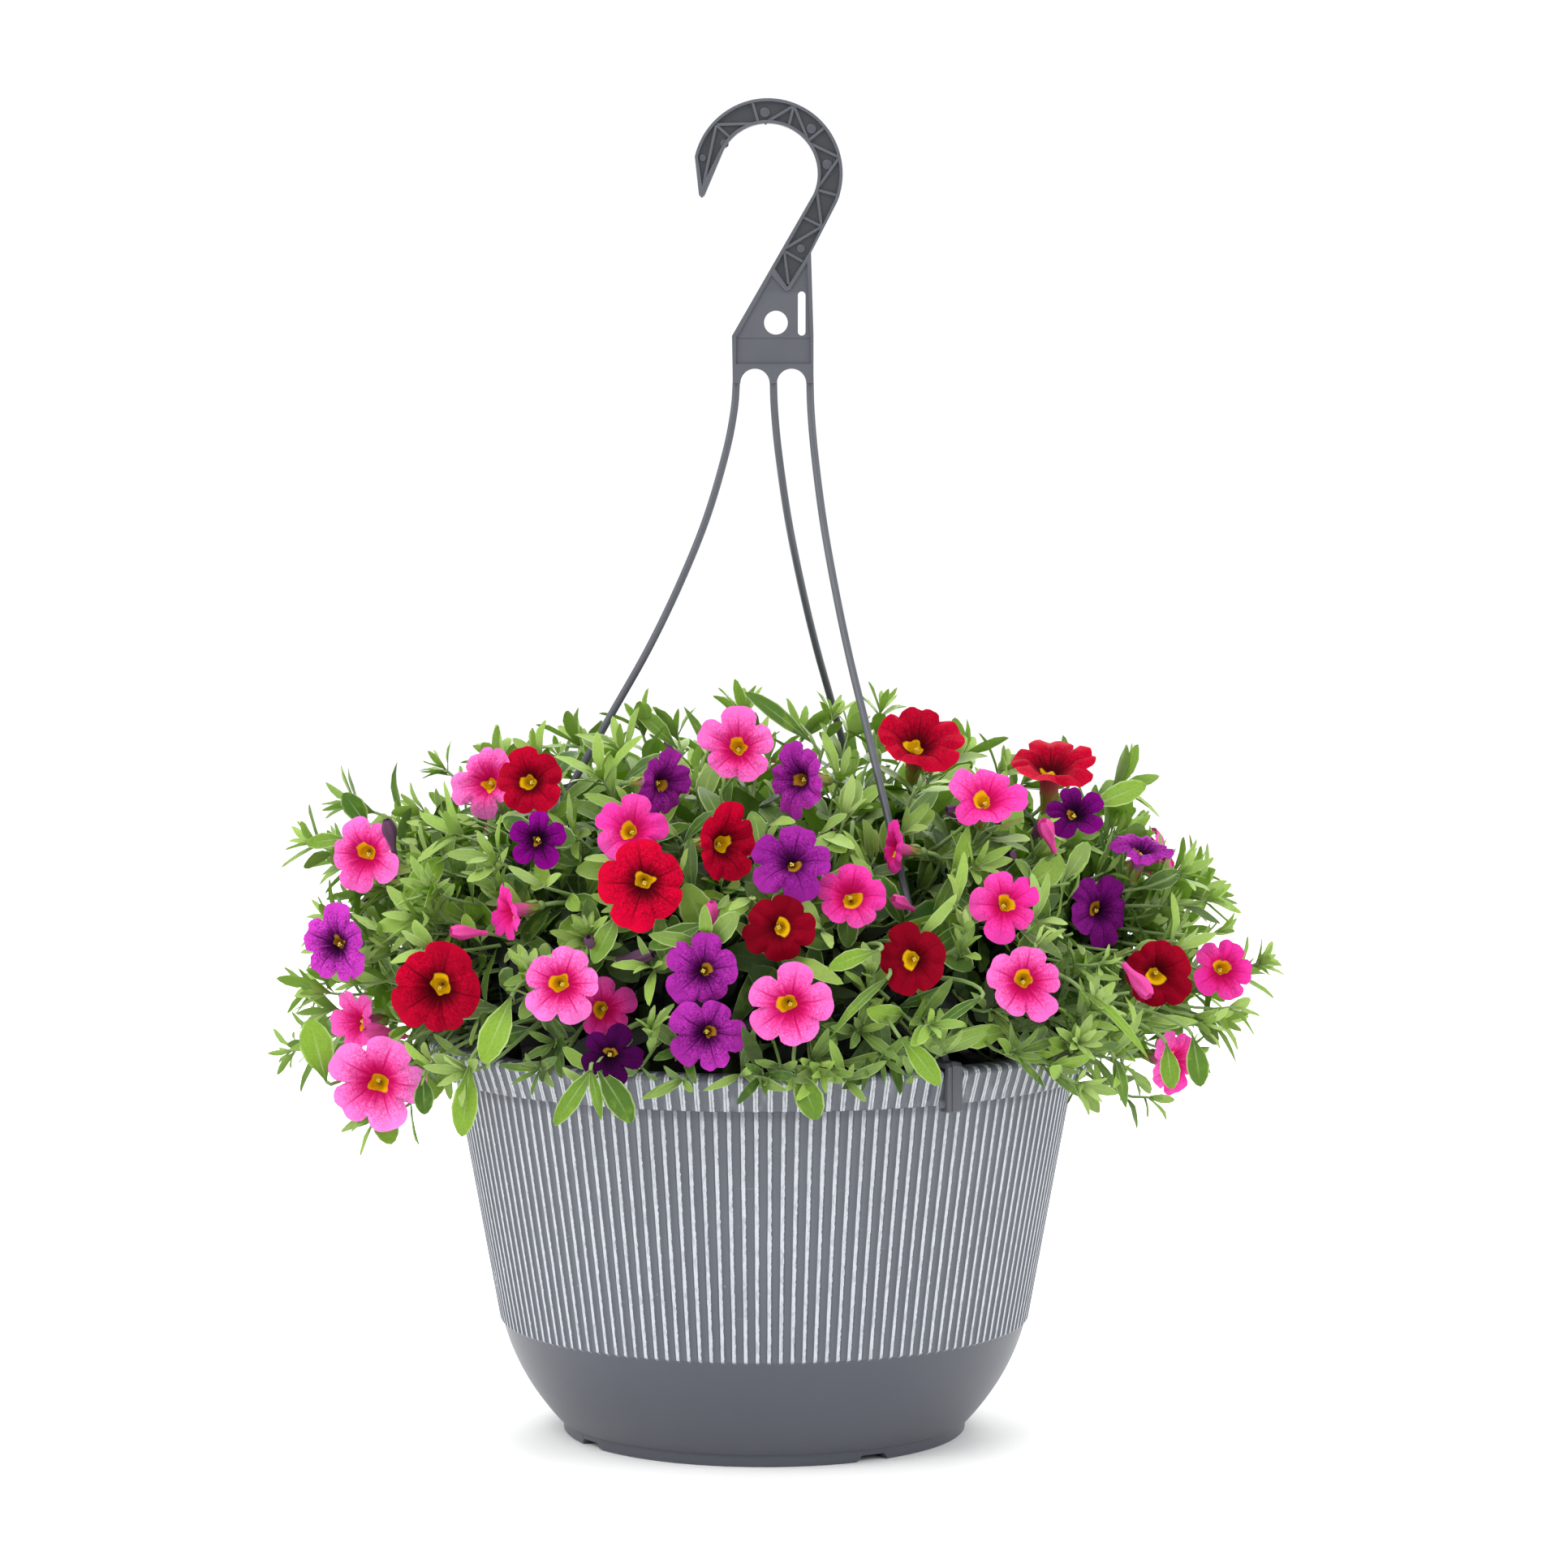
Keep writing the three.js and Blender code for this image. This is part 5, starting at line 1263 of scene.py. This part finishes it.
    def leafy_stalk(self, curve):
        """Four leaves along a bloom's stalk."""
        ahead = unit(curve[7] - curve[6])
        for k in (5, 7, 9, 10):
            out = across_axis(ahead, rng.uniform(0, TURN))
            length = rng.uniform(*LEAF_LENGTHS.stalk)
            width = length * rng.uniform(0.38, 0.5)
            bend = rng.uniform(0.3, 0.9)
            tint = rng.uniform(-0.3, 0.6)
            self.leaves.try_leaf(curve[k], out + 0.6 * ahead, ahead, length, width, bend, tint=tint)

    def lone_leaf(self, root, tip, width, bend):
        """A leaf that stands out, with a stalk to its root."""
        away, inward = tip - root, root - self.centre
        reach = np.linalg.norm(away)
        up = unit(np.array([0.1, -1.0, 0.7]))
        self.leaves.try_leaf(
            root, away + 0.5 * bend * reach * up, up, reach * (1 + 0.08 * bend), width, bend,
            tint=rng.uniform(0.1, 0.7), oval=1.0 if width > 6 else 0.1, check=False,
        )
        rise = self.centre + 0.7 * inward + (0, 0, 12)
        tube(self.stems, bezier(self.centre + 0.4 * inward, rise, root - 0.3 * away, root, 10), 0.8, 5)

    def build(self, leaf, stem):
        """The spray's two pieces: its leaves, and its stems with the stem that stands in the soil."""
        base = self.centre * (1, 1, 0) + (0, 0, SPRAY_FOOT)
        tube(self.stems, [base, base + (0, 0, 20), self.centre], [2.6, 2.4, 1.6], 8)
        blades = Builder("along", "across", "tint", "young", "back")
        self.leaves.add_to(blades)
        blades.piece(f"leaves_{self.name}", leaf, "foliage", [self.name])
        self.stems.piece(f"stems_{self.name}", stem, "foliage")


def make_sprays(blooms):
    """The sprays round the pot and the one in its middle, still bare."""
    sprays = []
    for i in range(SPRAYS):
        centre = facing(SPRAY_RING.first + 360 * i / SPRAYS) * SPRAY_RING.radius + (0, 0, SPRAY_RING.z)
        sprays.append(Spray(f"spray_{i + 1:02d}", centre, blooms))
    return [*sprays, Spray("spray_centre", (0.0, 0.0, SPRAY_RING.z), blooms)]


def spray_at(sprays, point):
    """The spray that grows nearest to a point."""
    return min(sprays, key=lambda spray: np.hypot(spray.centre[0] - point[0], spray.centre[1] - point[1]))


def extra_tips():
    """Tips of further shoots, spread evenly over the bush and over a smaller dome inside it."""
    tips = []
    for count, low, high in ((OUTER_SHOOTS, 0.86, 1.01), (INNER_SHOOTS, 0.56, 0.82)):
        for i in range(count):
            rise = ((i + 0.5) / count) ** 0.9 * 0.99
            azimuth = math.degrees(i * GOLDEN) % 360
            share = rng.uniform(low, high) * (1 - 0.13 * float(smoothstep(0.45, 0.8, rise)))
            hang = 16 * rng.random() if rise < 0.2 else 0
            z = CANOPY.base_z + CANOPY.height * rise * min(1.0, share + 0.12) - hang
            tips.append(facing(azimuth) * (dome_radius(azimuth) * dome_share(rise) * share) + (0, 0, z))
    for i in range(CORE_SHOOTS):
        height = (i + 0.5) / CORE_SHOOTS
        share = rng.uniform(0.2, 0.55) * (1 - 0.4 * height)
        tips.append(facing(i * 137.5) * dome_radius(i * 137.5) * share + (0, 0, 160 + 62 * height))
    for i in range(SIDE_SHOOTS):
        azimuth = (1 if i % 3 else -1) * rng.uniform(52, 118)
        z = rng.uniform(150, 238)
        edge = facing(azimuth) * dome_radius(azimuth) * dome_share(rise_of(z))
        tips.append(edge * rng.uniform(0.82, 1.0) + (0, 0, z))
    return tips + [np.array(tip, float) for tip in MIDDLE_TIPS]


def is_slim(tip):
    """Whether a shoot is of the narrow-leaved kind that grows low on the right of the front."""
    left, right = SLIM.azimuths
    return left < azimuth_of(tip) < right and tip[2] < SLIM.below and rng.random() < SLIM.share


def in_gap(tip):
    """Whether a shoot is left out of the low front, where the bush is open and dark."""
    (left, right), (low, high) = GAP.azimuths, GAP.heights
    outer = math.hypot(tip[0] / CANOPY.half_x, tip[1] / CANOPY.half_y) > GAP.outside
    return outer and left < azimuth_of(tip) < right and low < tip[2] < high and rng.random() < GAP.share


def low_front(tip):
    """How far a shoot is in the low front, from 0 to 1."""
    x, y, z = tip
    return float(smoothstep(215, 165, z) * smoothstep(-20, -90, y) * smoothstep(140, 110, abs(x)))


def grow_shoots(sprays):
    """The shoots seen in the photo, the pale rosettes, and then the rest of the bush."""
    for *tip, leaf_length in SHOOTS:
        tip = np.array(tip, float)
        spray_at(sprays, tip).shoot(tip, leaf_length, 0.35, needed=True)
    for tip in SLIM_TIPS:
        tip = np.array(tip, float)
        leaf_length = rng.uniform(*LEAF_LENGTHS.arching)
        # These narrow leaves get a darker tone: painted shade of the low front.
        spray_at(sprays, tip).shoot(tip, leaf_length, 0.95, painted_shade_tone=rng.uniform(-0.8, -0.2))
    for tip, direction, leaf_length in ROSETTES:
        spray_at(sprays, tip).pale_rosette(np.array(tip, float), unit(direction), leaf_length)
    for tip in extra_tips():
        slim = is_slim(tip)
        if in_gap(tip):
            continue
        leaf_length = rng.uniform(*(LEAF_LENGTHS.slim if slim else LEAF_LENGTHS.broad))
        narrow = 0.95 if slim else 0.7 * rng.random() ** 2
        # Shoots in the low front get a darker tone: painted shade.
        spray_at(sprays, tip).shoot(tip, leaf_length, narrow, painted_shade_tone=-0.75 * low_front(tip))


def build_foliage(blooms):
    sprays = make_sprays(blooms)
    grow_shoots(sprays)
    for bloom in blooms:
        at, axis = np.array(bloom.at, float), facing(bloom.turn, bloom.lift)
        end = at - axis * (bloom.size * TUBE + 1)
        spray = spray_at(sprays, end)
        curve = spray.stalk_curve(end, axis)
        tube(spray.stems, curve, 0.95, 6)
        spray.calyx(at, axis, bloom.size)
        spray.leafy_stalk(curve)
    for root, tip, width, bend in LONE_LEAVES:
        spray_at(sprays, root).lone_leaf(np.array(root, float), np.array(tip, float), width, bend)
    leaf, stem = leaf_material(), stem_material()
    for spray in sprays:
        spray.build(leaf, stem)


def add_bud(buds, stalks, tip, axis, length):
    """A pleated bud or wilted bloom with a short stalk into the bush."""
    side, cross = basis(axis)
    t = np.linspace(0, 1, 9)[:, None]
    theta = TURN * np.arange(20) / 20
    radius = length * (0.07 + 0.12 * smoothstep(0.1, 0.8, t) * (1 - 0.85 * t**5))
    radius = radius * (1 + 0.3 * np.cos(5 * theta + 3 * t) * smoothstep(0.1, 0.8, t))
    ring = (radius * np.cos(theta))[..., None] * side + (radius * np.sin(theta))[..., None] * cross
    buds.skin(
        tip - axis * length * (1 - t)[..., None] + ring, reach=t - 0.2, mid=0.5 + 0.5 * np.cos(5 * theta),
        outer=1.0, tint=1.0, ray_x=np.cos(theta), ray_y=np.sin(theta),
    )
    foot = tip - axis * length
    inward = unit(np.array([-foot[0], -foot[1], 170 - foot[2]]))
    tube(stalks, bezier(foot + axis * 2, foot - axis * 6, foot + inward * 14, foot + inward * 26, 8), 0.8, 6)


def build_buds(materials):
    """The buds of each colour as one piece, and their stalks as another."""
    stalks = Builder()
    for colour, rows in BUDS.items():
        buds = Builder(*PETAL_VALUES)
        for tip, direction, length in rows:
            add_bud(buds, stalks, np.array(tip, float), unit(direction), length)
        buds.piece(f"buds_{colour}", materials["plum" if colour == "violet" else colour], f"petal_{colour}")
    stalks.piece("bud_stalks", bpy.data.materials["stems"], "foliage")


# ---------------------------------------------------------------- stage, light and camera
def build_stage():
    """A white floor, and a white sky that lights the part from all sides."""
    half, white = FLOOR.half, FLOOR.white
    mesh = bpy.data.meshes.new("floor")
    corners = [(-half, -half, 0), (half, -half, 0), (half, half, 0), (-half, half, 0)]
    mesh.from_pydata(corners, [], [(0, 1, 2, 3)])
    paper = Nodes("paper", 0.9, 0.0)
    paper.set("Base Color", (white, white, white, 1.0))
    mesh.materials.append(paper.material)
    link_object("floor", mesh)
    world = bpy.data.worlds.new("studio")
    world.use_nodes = True
    world.node_tree.nodes["Background"].inputs["Color"].default_value = (1.0, 1.0, 1.0, 1.0)
    world.node_tree.nodes["Background"].inputs["Strength"].default_value = SKY
    bpy.context.scene.world = world
    bpy.context.scene.view_settings.view_transform = "Standard"


def build_lights():
    for name, place, size, power in LAMPS:
        light = bpy.data.lights.new(name, "AREA")
        light.shape = "SQUARE"
        light.size = size
        light.energy = power
        lamp = link_object(name, light)
        lamp.location = place
        lamp.rotation_euler = (Vector(LAMPS_AT) - Vector(place)).to_track_quat("-Z", "Y").to_euler()


def build_camera():
    camera = bpy.data.cameras.new("camera")
    camera.sensor_width = CAMERA.sensor
    camera.lens = CAMERA.focal / CAMERA.picture * CAMERA.sensor
    camera.clip_end = CAMERA.far
    view = link_object("camera", camera)
    view.location = [MM * value for value in EYE]
    view.rotation_euler = (math.pi / 2 - CAMERA.tilt, 0.0, 0.0)
    bpy.context.scene.camera = view


def main():
    blooms = bloom_rows()
    materials = {colour: petal_material(colour) for colour in PETALS}
    build_pot()
    build_soil()
    build_hanger()
    build_blooms(blooms, materials)
    build_foliage(blooms)
    build_buds(materials)
    build_stage()
    build_lights()
    build_camera()


main()
